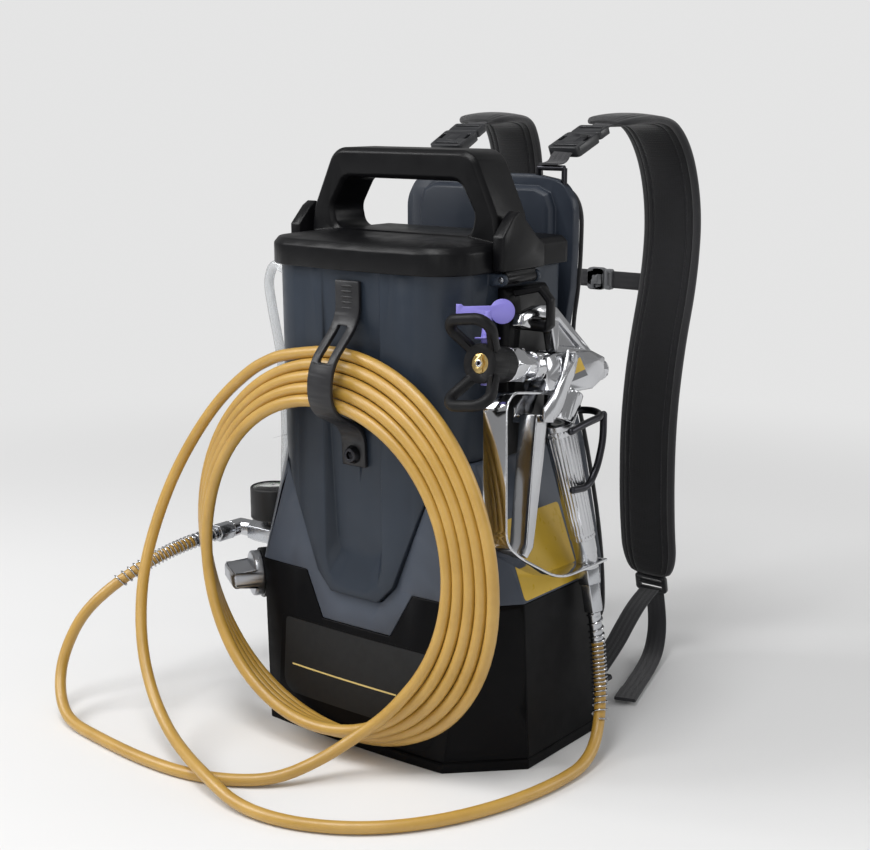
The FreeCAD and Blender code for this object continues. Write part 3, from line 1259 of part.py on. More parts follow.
def make_gun_body():
    barrel = rod(V(0, BODY_FRONT, 0), V(0, BODY_BACK, 0), BARREL_R)
    nose = rod(V(0, NOSE_FRONT, 0), V(0, BODY_FRONT + 1, 0), NOSE_R)
    slab = side_profile(SLAB, -BODY_HALF_T, BODY_HALF_T)
    arm = side_profile(ARM, -ARM_T / 2, ARM_T / 2)
    arm = arm.cut(side_profile(ARM_HOLLOW, ARM_WEB / 2, ARM_T)).cut(side_profile(ARM_HOLLOW, -ARM_T, -ARM_WEB / 2))
    collar = cone(CONE_TOP, GRIP_TOP, CONE_R, GRIP_R)
    body = fuse([barrel, nose, slab, arm, collar])
    body = body.cut(rod(V(0, NOSE_FRONT - 1, 0), V(0, BODY_BACK + 1, 0), ROD_R + RUN_GAP))
    body = body.cut(rod(V(-30, PIN_Y, PIN_Z), V(30, PIN_Y, PIN_Z), PIN_R))
    body = body.cut(rod(LOCK_PIVOT, LOCK_PIVOT + V(LOCK_STUD_L + END_GAP, 0, 0), LOCK_STUD_R + RUN_GAP))
    return hang(body)


def make_gun_rear_cap():
    cap = hexagon(V(0, BODY_BACK, 0), V(0, BODY_BACK + CAP_L, 0), CAP_R)
    return hang(cap.common(cone(V(0, BODY_BACK - 1, 0), V(0, BODY_BACK + CAP_L, 0), CAP_R * 1.3, CAP_R * 0.86)))


def make_tip_nut():
    flats = hexagon(V(0, TIP_NUT_FRONT, 0), V(0, TIP_NUT_BACK, 0), TIP_NUT_R)
    flats = flats.common(cone(V(0, TIP_NUT_FRONT, 0), V(0, TIP_NUT_BACK, 0), TIP_NUT_R * 0.94, TIP_NUT_R * 1.05))
    neck = cone(V(0, TIP_NUT_BACK - 1, 0), V(0, BODY_FRONT, 0), TIP_NUT_NECK_R, TIP_NUT_NECK_R - 2)
    nut = fuse([flats, neck])
    return hang(nut.cut(rod(V(0, TIP_NUT_FRONT - 1, 0), V(0, BODY_FRONT + 1, 0), NOSE_R)))


def guard_ear(up):
    # a loop of round bar from one side of the hub to the other
    foot = V(EAR_FOOT_HALF_W, HUB_FRONT + 6, up * EAR_FOOT_RISE)
    corner = V(EAR_HALF_W, EAR_Y, up * EAR_RISE)
    return pipe([foot, corner, V(-corner.x, corner.y, corner.z), V(-foot.x, foot.y, foot.z)], EAR_BAR_R)


def make_tip_guard():
    hub = rod(V(0, HUB_FRONT, 0), V(0, HUB_BACK, 0), HUB_R)
    skirt = rod(V(0, HUB_BACK, 0), V(0, HUB_SKIRT_BACK, 0), HUB_SKIRT_R)
    guard = fuse([hub, skirt, guard_ear(1), guard_ear(-1)])
    guard = guard.cut(rod(V(0, HUB_SEAT_Y, 0), V(0, HUB_SKIRT_BACK + 1, 0), NOSE_R + RUN_GAP))
    guard = guard.cut(rod(V(0, HUB_FRONT - 8, 0), V(0, HUB_FRONT + SEAT_DEPTH, 0), SEAT_R))
    guard = guard.cut(rod(V(0, HUB_FRONT, 0), V(0, HUB_SEAT_Y + 1, 0), SPRAY_BORE_R))
    return hang(guard.cut(rod(V(0, TIP_Y, -30), V(0, TIP_Y, 30), TIP_R + RUN_GAP)))


def make_tip_seat():
    low, high = HUB_FRONT + END_GAP, HUB_FRONT + SEAT_DEPTH
    ring = rod(V(0, low, 0), V(0, high, 0), SEAT_R)
    return hang(ring.cut(rod(V(0, low - 1, 0), V(0, high + 1, 0), SPRAY_BORE_R)))


def make_spray_tip():
    barrel = rod(V(0, TIP_Y, TIP_LOW), V(0, TIP_Y, TIP_TOP), TIP_R)
    barrel = barrel.cut(rod(V(0, TIP_Y - 10, 0), V(0, TIP_Y + 10, 0), TIP_ORIFICE_R))
    flange = rod(V(0, TIP_Y, TIP_TOP - TIP_FLANGE_T), V(0, TIP_Y, TIP_TOP), TIP_FLANGE_R)
    stem = cone(V(0, TIP_Y, TIP_TOP), V(0, TIP_Y, FLAG_Z), TIP_R, FLAG_STEM_R)
    arm = side_profile([(y, FLAG_Z + z) for y, z in FLAG_ARM], -FLAG_T / 2, FLAG_T / 2)
    head = rod(V(-FLAG_T / 2, FLAG_HEAD_Y, FLAG_Z), V(FLAG_T / 2, FLAG_HEAD_Y, FLAG_Z), FLAG_HEAD_R)
    flag = fuse([arm, head])
    flag.rotate(V(0, 0, 0), V(0, 0, 1), FLAG_TURN)
    flag.translate(V(0, TIP_Y, 0))
    return hang(fuse([barrel, flange, stem, flag]))


def make_gun_trigger():
    inner = BODY_HALF_T + CHEEK_GAP
    outer = inner + CHEEK_T
    cheeks = [side_profile(CHEEK, inner, outer), side_profile(CHEEK, -outer, -inner)]
    bridge = side_profile(BRIDGE, -outer, outer)
    blade = side_profile(BLADE, -TRIGGER_HALF_W, TRIGGER_HALF_W)
    hollow = side_profile(BLADE_HOLLOW, TRIGGER_SKIN - TRIGGER_HALF_W, TRIGGER_HALF_W - TRIGGER_SKIN)
    trigger = fuse(cheeks + [bridge, blade.cut(hollow)])
    return hang(trigger.cut(rod(V(-30, PIN_Y, PIN_Z), V(30, PIN_Y, PIN_Z), PIN_R + RUN_GAP)))


def make_trigger_pin():
    half = BODY_HALF_T + CHEEK_GAP + CHEEK_T + CHEEK_GAP
    pieces = [rod(V(-half, PIN_Y, PIN_Z), V(half, PIN_Y, PIN_Z), PIN_R)]
    for side in (-1, 1):
        pieces.append(rod(V(side * half, PIN_Y, PIN_Z), V(side * (half + 2), PIN_Y, PIN_Z), PIN_R + 1.8))
    return hang(fuse(pieces))


def make_trigger_lock():
    x0 = LOCK_PIVOT.x - SKIN_GAP
    x1 = x0 - LOCK_PLATE_T
    y, z = LOCK_PIVOT.y, LOCK_PIVOT.z
    disc = rod(V(x0, y, z), V(x1, y, z), LOCK_R)
    lever = box(x1, x0, y - LOCK_ARM_W / 2, y + LOCK_ARM_W / 2, z, z + LOCK_ARM)
    stud = rod(V(x0, y, z), V(LOCK_PIVOT.x + LOCK_STUD_L, y, z), LOCK_STUD_R)
    return hang(fuse([disc, lever, stud]))


def make_gun_needle():
    return hang(rod(V(0, NEEDLE_ROD_Y[0], 0), V(0, NEEDLE_ROD_Y[1], 0), ROD_R))


def neck_end():
    return GRIP_FOOT + unit(SWIVEL_AIM) * NECK_L


def make_gun_handle():
    grip = cone(GRIP_TOP, GRIP_FOOT, GRIP_R, GRIP_FOOT_R)
    neck = rod(GRIP_FOOT, neck_end(), NECK_R)
    knee = Part.makeSphere(GRIP_FOOT_R, GRIP_FOOT)
    along = unit(GRIP_FOOT - GRIP_TOP)
    bore = rod(GRIP_TOP, GRIP_FOOT - along * GRIP_PLUG, GRIP_BORE_R)
    return hang(fuse([grip, knee, neck]).cut(bore).cut(cone(CONE_TOP, GRIP_TOP, CONE_R, GRIP_R)))


def make_gun_filter():
    along = unit(GRIP_FOOT - GRIP_TOP)
    foot = GRIP_FOOT - along * (GRIP_PLUG + SKIN_GAP)
    top = GRIP_TOP + along * SKIN_GAP
    screen = rod(top, foot, FILTER_R)
    flange = rod(top, top + along * FILTER_FLANGE_T, FILTER_FLANGE_R)
    hollow = rod(top - along, foot - along * 4, FILTER_R - 1.5)
    return hang(fuse([screen, flange]).cut(hollow).cut(cone(CONE_TOP, GRIP_TOP, CONE_R, GRIP_R)))


def make_trigger_guard():
    band = strip(GUARD_PATH, GUARD_W, GUARD_T)
    aim = unit(SWIVEL_AIM)
    eye = rod(GRIP_FOOT - aim * 40, neck_end() + aim * 20, NECK_R)
    grip = cone(GRIP_TOP, GRIP_FOOT, GRIP_R, GRIP_FOOT_R)
    return hang(band.cut(eye).cut(grip).cut(Part.makeSphere(GRIP_FOOT_R, GRIP_FOOT)))


def make_gun_swivel():
    aim = unit(SWIVEL_AIM)
    top = neck_end() + aim * (COLLAR_NUT_L + SKIN_GAP)
    foot = top + aim * (SWIVEL_L - SKIN_GAP)
    bore = rod(top - aim, top + aim * (SPIGOT_L + 1), SPIGOT_R + RUN_GAP)
    return hang(hexagon(top, foot, SWIVEL_R).cut(bore))


def make_paint_tank():
    gap = SHELL_WALL + TANK_GAP
    outer = loft([shell_section(TANK_LOW_Z, gap), shell_section(TANK_TOP_Z, gap)])
    inset = gap + TANK_WALL
    hollow = loft([shell_section(TANK_LOW_Z + TANK_WALL, inset), shell_section(TANK_TOP_Z + 1, inset)])
    x, y = spout_x(), gear_centre()[0]
    spout = rod(V(x, y, TANK_SPOUT_Z), V(x, y, TANK_LOW_Z + 1), TANK_OUTLET_R)
    deck = BASE_TOP_Z + SKIN_GAP + SHELL_WALL
    feet = [rod(V(fx, fy, deck + SKIN_GAP), V(fx, fy, TANK_LOW_Z + 1), TANK_FOOT_R)
            for fx in (-TANK_FOOT_X, TANK_FOOT_X) for fy in TANK_FOOT_Y]
    tank = fuse([outer.cut(hollow), spout] + feet)
    return tank.cut(rod(V(x, y, TANK_SPOUT_Z - 1), V(x, y, TANK_LOW_Z + 5), TANK_OUTLET_R - 3))


def make_tank_strainer():
    x, y = spout_x(), gear_centre()[0]
    low = TANK_LOW_Z + TANK_WALL
    cup = rod(V(x, y, low), V(x, y, low + STRAINER_H), STRAINER_R)
    hollow = rod(V(x, y, low - 1), V(x, y, low + STRAINER_H - STRAINER_WALL), STRAINER_R - STRAINER_WALL)
    slots = []
    for i in range(STRAINER_SLOTS):
        slot = box(STRAINER_R - 4, STRAINER_R + 2, -1.5, 1.5, low + 4, low + STRAINER_H - 5)
        slot.rotate(V(0, 0, 0), V(0, 0, 1), 360.0 / STRAINER_SLOTS * i)
        slot.translate(V(x, y, 0))
        slots.append(slot)
    return cup.cut(hollow).cut(Part.makeCompound(slots))


def spout_x():
    # the pump stands in front of the crank pin's end
    return GEAR_X - GEAR_W / 2 - CRANK_PIN_L - YOKE_GAP - YOKE_T / 2


def make_pump_block():
    block = box(BLOCK_X[0], BLOCK_X[1], BLOCK_Y[0], BLOCK_Y[1], BLOCK_Z[0], BLOCK_Z[1])
    x, y = spout_x(), gear_centre()[0]
    line = rod(V(BLOCK_X[1] - 5, PUMP_PIPE_Y, PUMP_PIPE_Z), V(x, PUMP_PIPE_Y, PUMP_PIPE_Z), PUMP_PIPE_R)
    barrel = rod(V(x, y, PUMP_LOW_Z), V(x, y, PUMP_TOP_Z), PUMP_R)
    pump = fuse([block, line, barrel])
    pump = pump.cut(rod(V(x, y, PUMP_LOW_Z - 1), V(x, y, PUMP_TOP_Z - 1), PISTON_R + RUN_GAP))
    pump = pump.cut(rod(V(x, y, PUMP_TOP_Z - 2), V(x, y, PUMP_TOP_Z + 1), INLET_BORE_R))
    pump = pump.cut(rod(knob_point(-KNOB_SHAFT_L - END_GAP), knob_point(0), KNOB_SHAFT_R + RUN_GAP))
    stem_end = V(BLOCK_X[0] + STEM_DEPTH, OUTLET_Y, OUTLET_Z)
    return pump.cut(rod(V(BLOCK_X[0] - 1, OUTLET_Y, OUTLET_Z), stem_end, OUTLET_STEM_R))


def make_inlet_valve():
    x, y = spout_x(), gear_centre()[0]
    low, high = PUMP_TOP_Z + SKIN_GAP, TANK_SPOUT_Z - SKIN_GAP
    body = rod(V(x, y, low), V(x, y, high), INLET_R)
    return body.cut(rod(V(x, y, low - 1), V(x, y, high + 1), INLET_BORE_R))


def make_pump_piston():
    x = spout_x()
    y, z = gear_centre()
    reach = CRANK_THROW + CRANK_PIN_R + RUN_GAP
    plate = box(x - YOKE_T / 2, x + YOKE_T / 2, y - reach - YOKE_RIM, y + reach + YOKE_RIM, z - YOKE_HALF_H, z + YOKE_HALF_H)
    slot_half = CRANK_PIN_R + RUN_GAP
    plate = plate.cut(box(x - YOKE_T, x + YOKE_T, y - reach, y + reach, z - slot_half, z + slot_half))
    # a slim neck up to where the crank pin can't reach, at its highest and with the yoke at its lowest
    neck_top = z + 2 * CRANK_THROW + CRANK_PIN_R + YOKE_GAP
    neck = rod(V(x, y, z + YOKE_HALF_H - 1), V(x, y, neck_top + 1), YOKE_T / 2)
    return fuse([plate, neck, rod(V(x, y, neck_top), V(x, y, PISTON_TOP_Z), PISTON_R)])


def toothed(teeth, y, z, first):
    # a gear about X with thin straight sided teeth; the first tooth points along an angle
    pitch_r, pitch = teeth * GEAR_MODULE / 2, 2 * math.pi / teeth
    points = []
    for i in range(teeth):
        middle = math.radians(first) + i * pitch
        for share, radius in ((-0.20, pitch_r - 1.2 * GEAR_MODULE), (-0.10, pitch_r + 0.85 * GEAR_MODULE),
                              (0.10, pitch_r + 0.85 * GEAR_MODULE), (0.20, pitch_r - 1.2 * GEAR_MODULE)):
            a = middle + share * pitch
            points.append((y + radius * math.cos(a), z + radius * math.sin(a)))
    return side_profile(points, GEAR_X - GEAR_W / 2, GEAR_X + GEAR_W / 2)


def make_crank_gear():
    y, z = gear_centre()
    gear = toothed(GEAR_TEETH, y, z, GEAR_ANGLE + 180.0 + 180.0 / GEAR_TEETH)
    face = GEAR_X - GEAR_W / 2
    pin = rod(V(face + 1, y + CRANK_THROW, z), V(face - CRANK_PIN_L, y + CRANK_THROW, z), CRANK_PIN_R)
    back = GEAR_X + GEAR_W / 2
    return fuse([gear, pin, rod(V(back - 1, y, z), V(back + END_GAP + STAND_T + 1, y, z), AXLE_R)])


def make_motor_pinion():
    pinion = toothed(PINION_TEETH, MOTOR_Y, MOTOR_Z, GEAR_ANGLE)
    shaft = rod(V(GEAR_X - GEAR_W / 2, MOTOR_Y, MOTOR_Z), V(MOTOR_X + MOTOR_BORE_L, MOTOR_Y, MOTOR_Z), SHAFT_R)
    return fuse([pinion, shaft])


def make_motor():
    can = rod(V(MOTOR_X, MOTOR_Y, MOTOR_Z), V(MOTOR_X + MOTOR_L, MOTOR_Y, MOTOR_Z), MOTOR_R)
    rims = [e for e in can.Edges if e.BoundBox.XMax - e.BoundBox.XMin < 0.01]
    can = can.makeChamfer(2.0, rims)
    bore = rod(V(MOTOR_X - 1, MOTOR_Y, MOTOR_Z), V(MOTOR_X + MOTOR_BORE_L + END_GAP, MOTOR_Y, MOTOR_Z), SHAFT_R + RUN_GAP)
    return can.cut(bore)


def make_battery_pack():
    x0 = -BASE_HALF_W + BATTERY_FACE
    pack = box(x0, x0 + BATTERY_L, BATTERY_Y[0], BATTERY_Y[1], BATTERY_Z[0], BATTERY_Z[1])
    edges = [e for e in pack.Edges if e.BoundBox.XMax - e.BoundBox.XMin > BATTERY_L - 1]
    pack = pack.makeChamfer(2.0, edges)
    grip = box(x0 - 1, x0 + 5, BATTERY_Y[0] + 12, BATTERY_Y[1] - 12, BATTERY_Z[0] + 9, BATTERY_Z[0] + 19)
    pocket = rod(V(x0 - 1, BUTTON_Y, BUTTON_Z), V(x0 + BUTTON_POCKET, BUTTON_Y, BUTTON_Z), BUTTON_R + 2 * RUN_GAP)
    return pack.cut(grip).cut(pocket)


def make_battery_button():
    x0 = -BASE_HALF_W
    button = rod(V(x0, BUTTON_Y, BUTTON_Z), V(x0 + BUTTON_L, BUTTON_Y, BUTTON_Z), BUTTON_R)
    front = [e for e in button.Edges if e.BoundBox.XMax < x0 + 0.01]
    return button.makeChamfer(0.8, front)


def make_control_board():
    board = box(BOARD_X[0], BOARD_X[1], BOARD_Y[0], BOARD_Y[1], BOARD_Z, BOARD_Z + BOARD_T)
    top = BOARD_Z + BOARD_T - 0.2
    x0, y0 = BOARD_X[0] + 10, BOARD_Y[0] + 6
    parts = [board, box(x0, x0 + 28, y0, y0 + 14, top, top + HEAT_SINK_H)]
    for i in range(3):
        x = BOARD_X[0] + 12 + i * 15
        parts.append(rod(V(x, y0 + 26, top), V(x, y0 + 26, top + CAPACITOR_H), CAPACITOR_R))
        x = BOARD_X[1] - 28 + i * 10
        parts.append(box(x, x + 7, y0 + 20, y0 + 32, top, top + CHIP_H))
    parts.append(box(BOARD_X[1] - 36, BOARD_X[1] - 8, y0 - 1, y0 + 8, top, top + CHIP_H))
    return fuse(parts)


def make_power_switch():
    # a rocker on an upright pin
    half, deep = SWITCH_L / 2 - SKIN_GAP, SWITCH_IN_X
    points = [(SWITCH_OUT_X, -half), (SWITCH_OUT_X + 1.2, 0), (SWITCH_OUT_X, half), (deep, half - 3), (deep, 3 - half)]
    half_h = SWITCH_W / 2 - SKIN_GAP
    rocker = prism([V(x, SWITCH_Y + y, SWITCH_Z - half_h) for x, y in points], V(0, 0, 2 * half_h))
    pin_hole = rod(V(SWITCH_AXIS_X, SWITCH_Y, SWITCH_Z - SWITCH_W), V(SWITCH_AXIS_X, SWITCH_Y, SWITCH_Z + SWITCH_W),
                   SWITCH_PIN_R + RUN_GAP)
    return rocker.cut(pin_hole)


pieces = {
    "lower_housing": make_lower_housing(),
    "flare_housing": make_flare_housing(),
    "upper_shell": make_upper_shell(),
    "lid": make_lid(),
    "lid_seal": make_lid_seal(),
    "right_latch": make_latch(),
    "left_latch": flip(make_latch()),
    "latch_pins": make_latch_pins(),
    "back_plate": make_back_plate(),
    "back_pad": make_back_pad(),
    "gun_rail": make_gun_rail(),
    "gun_holder": make_gun_holder(),
    "hose_strap": make_hose_strap(),
    "strap_screw": make_strap_screw(),
    "right_shoulder_pad": make_shoulder_pad(),
    "left_shoulder_pad": flip(make_shoulder_pad()),
    "harness_webbing": make_harness_webbing(),
    "shoulder_buckles": make_shoulder_buckles(),
    "ladder_locks": make_ladder_locks(),
    "sternum_buckle": make_sternum_buckle(),
    "webbing_anchors": make_webbing_anchors(),
    "outlet_union": make_outlet_union(),
    "outlet_elbow": make_outlet_elbow(),
    "gauge_case": make_gauge_case(),
    "gauge_dial": make_gauge_dial(),
    "gauge_needle": make_gauge_needle(),
    "pressure_knob": make_pressure_knob(),
    "knob_collar": make_knob_collar(),
    "return_tube": make_return_tube(),
    "hose_lead": make_hose_lead(),
    "hose_coil": make_hose_coil(),
    "hose_tail": make_hose_tail(),
    "hose_springs": make_hose_springs(),
    "hose_end_nuts": make_hose_end_nuts(),
    "gun_body": make_gun_body(),
    "gun_rear_cap": make_gun_rear_cap(),
    "tip_nut": make_tip_nut(),
    "tip_guard": make_tip_guard(),
    "tip_seat": make_tip_seat(),
    "spray_tip": make_spray_tip(),
    "gun_trigger": make_gun_trigger(),
    "trigger_pin": make_trigger_pin(),
    "trigger_lock": make_trigger_lock(),
    "gun_needle": make_gun_needle(),
    "gun_handle": make_gun_handle(),
    "gun_filter": make_gun_filter(),
    "trigger_guard": make_trigger_guard(),
    "gun_swivel": make_gun_swivel(),
    "paint_tank": make_paint_tank(),
    "tank_strainer": make_tank_strainer(),
    "pump_block": make_pump_block(),
    "inlet_valve": make_inlet_valve(),
    "pump_piston": make_pump_piston(),
    "crank_gear": make_crank_gear(),
    "motor_pinion": make_motor_pinion(),
    "motor": make_motor(),
    "battery_pack": make_battery_pack(),
    "battery_button": make_battery_button(),
    "control_board": make_control_board(),
    "power_switch": make_power_switch(),
}

for name, shape in pieces.items():
    shape.exportStep("parts/" + name + ".step")
    room = shape.BoundBox
    print(name, shape.isValid(), len(shape.Solids), round(shape.Volume / 1000, 1),
          [round(v, 1) for v in (room.XMin, room.XMax, room.YMin, room.YMax, room.ZMin, room.ZMax)])
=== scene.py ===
# Airless paint sprayer, cordless, worn on the back. Metres, in the part's own frame.
import json
import math

import bmesh
import bpy
from mathutils import Matrix, Vector
from mathutils.bvhtree import BVHTree

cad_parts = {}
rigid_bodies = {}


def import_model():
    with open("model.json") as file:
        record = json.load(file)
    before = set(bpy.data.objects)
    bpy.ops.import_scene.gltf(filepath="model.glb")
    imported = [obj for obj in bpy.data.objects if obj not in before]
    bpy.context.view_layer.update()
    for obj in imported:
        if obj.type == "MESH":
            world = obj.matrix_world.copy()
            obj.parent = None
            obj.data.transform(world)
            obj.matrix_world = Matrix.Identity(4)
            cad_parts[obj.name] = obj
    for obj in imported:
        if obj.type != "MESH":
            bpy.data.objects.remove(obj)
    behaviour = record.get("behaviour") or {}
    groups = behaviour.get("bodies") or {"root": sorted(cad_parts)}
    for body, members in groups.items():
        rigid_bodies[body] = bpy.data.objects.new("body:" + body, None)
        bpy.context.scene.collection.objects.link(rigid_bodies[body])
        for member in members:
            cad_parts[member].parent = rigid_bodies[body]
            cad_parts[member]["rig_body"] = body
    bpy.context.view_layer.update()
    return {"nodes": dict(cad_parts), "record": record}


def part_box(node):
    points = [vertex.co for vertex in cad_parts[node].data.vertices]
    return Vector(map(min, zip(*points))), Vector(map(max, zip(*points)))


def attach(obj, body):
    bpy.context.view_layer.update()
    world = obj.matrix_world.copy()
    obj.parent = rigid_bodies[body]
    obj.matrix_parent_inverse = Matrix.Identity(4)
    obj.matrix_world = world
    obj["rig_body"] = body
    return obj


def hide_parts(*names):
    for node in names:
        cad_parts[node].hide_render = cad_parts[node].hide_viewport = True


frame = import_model()
scene = bpy.context.scene
MM = 0.001
AXIS_X, AXIS_Y, AXIS_Z = Vector((1, 0, 0)), Vector((0, 1, 0)), Vector((0, 0, 1))

# Camera and studio; each lamp's place, size and power
CAMERA_PLACE = Vector((0.9531, -1.1823, 0.6470))
CAMERA_TURN = (math.radians(77.8), 0.0, math.radians(38.0))
CAMERA_LENS = 62.07
BACKDROP = 0.78
FLOOR_COLOUR = 0.79
SKY_LEVEL = 0.40
GLOSS_LEVEL = 0.30
FLOOR_HALF = 6.0
FADE_START = 0.75
FADE_END = 1.9
LAMP_AIM = Vector((0.0, 0.0, 0.3))
LAMPS = {"key_softbox": ((-1.6, -1.5, 2.0), 1.3, 38.0), "front_fill": ((1.5, -2.3, 1.1), 1.5, 9.0),
         "top_strip": ((0.1, -0.9, 2.4), 0.9, 27.0), "rear_edge_light": ((1.9, 1.6, 1.3), 0.9, 10.0)}

# Hose, the same route as in the part; the coil's lean and front are level, cosine, sine and double cosine
HOSE_DIAMETER = 0.012
LEAD_ROUTE = [(-246, -49, 169), (-248, -89, 168), (-262, -132, 155), (-284, -170, 131), (-306, -194, 101),
              (-315, -211, 66.5), (-309, -226.6, 39.4), (-290, -241, 18), (-262, -252, 6.2),
              (-204, -260, 6.1), (-140, -266, 6.1), (-80, -264, 6.1), (-30, -248, 6.1), (8, -220, 8),
              (31, -179, 21)]
TAIL_ROUTE = [(-127, -106, 378), (-170, -107, 345), (-203, -114, 303), (-224, -128, 258), (-233, -146, 212),
              (-231, -168, 166), (-218, -188, 123), (-196, -206, 84), (-164, -222, 50), (-122, -239, 28),
              (-76, -258, 22), (-32, -273, 18), (14, -282, 8), (64, -278, 6.1), (110, -260, 6.1),
              (150, -230, 6.1), (182, -188, 6.1), (205, -138, 6.1), (218, -88, 6.1), (223, -46, 6.1),
              (223, -12, 7), (219, 15, 16), (211.5, 36, 34), (205, 48, 56), (198, 54, 90)]
COIL_START = -50.0
COIL_END = 1550.0
COIL_STEP = 25.0
COIL_PITCH = 12.8
COIL_CENTRE_X, COIL_CENTRE_Z = -12.0, 197.5
COIL_RADII = (155.0, 164.0)
COIL_LEAN = (33.5, -16.5, -20.5, -12.0)
COIL_FRONT = (-137.75, 7.5, 13.0, 5.25)
LEAD_LAST_RUN = 44.0
TAIL_FIRST_RUN = 24.0
SPRING_START = 0.0015
SPRING_RADIUS, SPRING_WIRE = 0.0075, 0.00095
CRIMP_LENGTH = 0.034
CRIMP_RADIUS, CRIMP_END_RADIUS = 0.00655, 0.0061
CRIMP_GROOVE, CRIMP_GROOVE_STEPS = 0.0001, 7.0
FINE_STEP = 0.001

# Spray gun: its barrel lies along its own Y and its grip points down
GUN_PLACE = Vector((157.19, -25, 401.44)) * MM
GUN_LEAN = math.radians(-7.0)
GUN_TILT = math.radians(-9.5)
GRIP_TOP = Vector((0, 57, -54)) * MM
GRIP_FOOT = Vector((0, 108, -182)) * MM
SWIVEL_AIM = Vector((0, 17, -66)).normalized()
SWIVEL_REACH = 0.0643
GUN_LABEL_X = 0.01518
GUN_LABEL = [(72, 10), (86, -7), (38, -19), (47, 0)]
GUN_LABEL_SPLIT = 0.34
TIP_FACE = Vector((0, -0.0722, 0))

# Harness, right half, the same lines as in the part
SHOULDER_LINE = [(84, 225, 624), (92, 285, 634), (101, 325, 600), (107, 343, 528), (110, 332, 450),
                 (112, 303, 370), (112, 290, 289), (111, 293, 205), (110, 302, 140), (110, 311, 100)]
SHOULDER_BUCKLE = Vector((80, 183, 606)) * MM
SHOULDER_ANCHOR = Vector((78, 134, 579)) * MM
LOWER_WEB = [(113, 303, 84), (117, 272, 78), (122, 236, 63), (127, 202, 46), (130, 163, 30.6)]
TAIL_WEB = [(113, 316, 80), (118, 318, 46), (126, 298, 14), (138, 258, 6), (152, 212, 5.6), (168, 160, 5.6)]
STRAP_STEP = 0.004
PAD_STEP = 0.0042
PAD_WIDTH = 0.072
PAD_THICK = 0.013
PAD_EDGE = 0.0036
PAD_TAPE, PAD_SEAM = 0.0080, 0.0150
PAD_TUCKS = ((PAD_TAPE, 0.0011, 0.0009), (PAD_SEAM, 0.0009, 0.0008))  # place, depth and width
PAD_MARKS = [0.0036, 0.0050, 0.0064, 0.0072, 0.0080, 0.0088, 0.0100, 0.0130, 0.0142, 0.0150, 0.0158, 0.0180,
             0.0240, 0.0300]
PAD_WAVE, PAD_WAVE_LENGTH = 0.035, 0.085
WEB_WIDTH = 0.024
WEB_THICK = 0.0018
WEB_BEVEL = 0.0008
BUCKLE_LENGTH = 0.060
BUCKLE_WIDTH = 0.041
BUCKLE_THICK = 0.011
BUCKLE_REACH = 0.42
LOCK_LENGTH = 0.022
LOCK_THICK = 0.008
STERNUM_Z = 0.442
STERNUM_Y = 0.3291
STERNUM_WIDTH = 0.020
STERNUM_SPAN = (0.004, 0.037)
STERNUM_END = 0.0744
STERNUM_TUCK = 0.002
CLASP_THICK = 0.0088
STITCHES = {"Spacing": 0.0042, "Stitch length": 0.0030, "Thread radius": 0.00042}
CUSHION_FIT = (0.975, 0.80, 0.985)
CUSHION_STANDOFF = 0.002
CUSHION_FACES = 0.0052
CUSHION_PRESSURE = 4.0
CUSHION_STEPS = 20
CUSHION_CHANNELS = (0.215, 0.385)
CHANNEL_DEPTH, CHANNEL_WIDTH = 0.0065, 0.0048
CUSHION_EDGE = [(144, 60), (142, 171), (117, 295), (100, 350), (97, 411), (104, 456), (106, 500), (106, 542),
                (84, 562)]
CUSHION_PIPING_Y = 0.152
PIPING_RADIUS, PIPING_INSET, PIPING_SIDES = 0.0023, 1.2, 12
CUSHION_CAP = 0.009

# Labels left bare: finish, area, lower and upper corner radius, height above the housing
FRONT_LABEL = [("housing_black", (-0.104, 0.104, 0.016, 0.118), (0.022, 0.006), 0.00035),
               ("label_navy", (-0.097, 0.097, 0.036, 0.116), (0.018, 0.004), 0.0007),
               ("label_gold", (-0.085, 0.057, 0.0663, 0.0679), (0.0004, 0.0004), 0.00105)]
SIDE_LABEL = ("label_yellow", (-0.040, 0.057, 0.1735, 0.249), (0.004, 0.004), 0.0005)
FRONT_LABEL_Y, SIDE_LABEL_X = -0.11, 0.19
FILM_GRID = (26, 22)
FILM_REACH = 0.08
FILM_THICK = 0.00028

# Gauge's face, the keeper's ribs, the grip's flutes and the back plate's screws
DIAL_CENTRE = Vector((-0.194, -0.010, 0.2202))
DIAL_ZERO = 225.0
DIAL_SWEEP = 270.0
DIAL_TICKS, DIAL_LONG_TICK = 30, 5
TICK_OUTER, TICK_INNER, TICK_LONG_INNER = 0.0205, 0.0185, 0.0165
NUMBER_RADIUS, NUMBER_SIZE = 0.0128, 0.0044
BAND_RADII, BAND_SHARES = (0.0190, 0.0212), (0.30, 0.78)
LENS_RADIUS, LENS_LIFT = 0.0223, 0.0036
RIB_LOW, RIB_HIGH = Vector((0, -0.1005, 0.446)), Vector((0, -0.1012, 0.473))
RIB_COUNT, RIB_LENGTH, RIB_RADIUS = 6, 0.015, 0.00115
FLUTES = 24
FLUTE_DEPTH = 0.0007
GRIP_SPAN = (0.04, 0.90)
GRIP_RADII = (0.0153, 0.0119)
GRIP_PROFILE = [(0.0, 0.0003), (0.01, 0.0010), (0.03, 0.0011), (0.04, 0.0004), (0.05, 0.0004),
                (0.06, 0.0010), (0.35, 0.0010), (0.65, 0.0010), (0.94, 0.0010), (0.95, 0.0004),
                (0.96, 0.0004), (0.97, 0.0010), (0.99, 0.0010), (1.0, 0.0003)]
SCREW_PLACES = [Vector((x, 0.1413, 0.050)) for x in (-0.060, 0.060)]


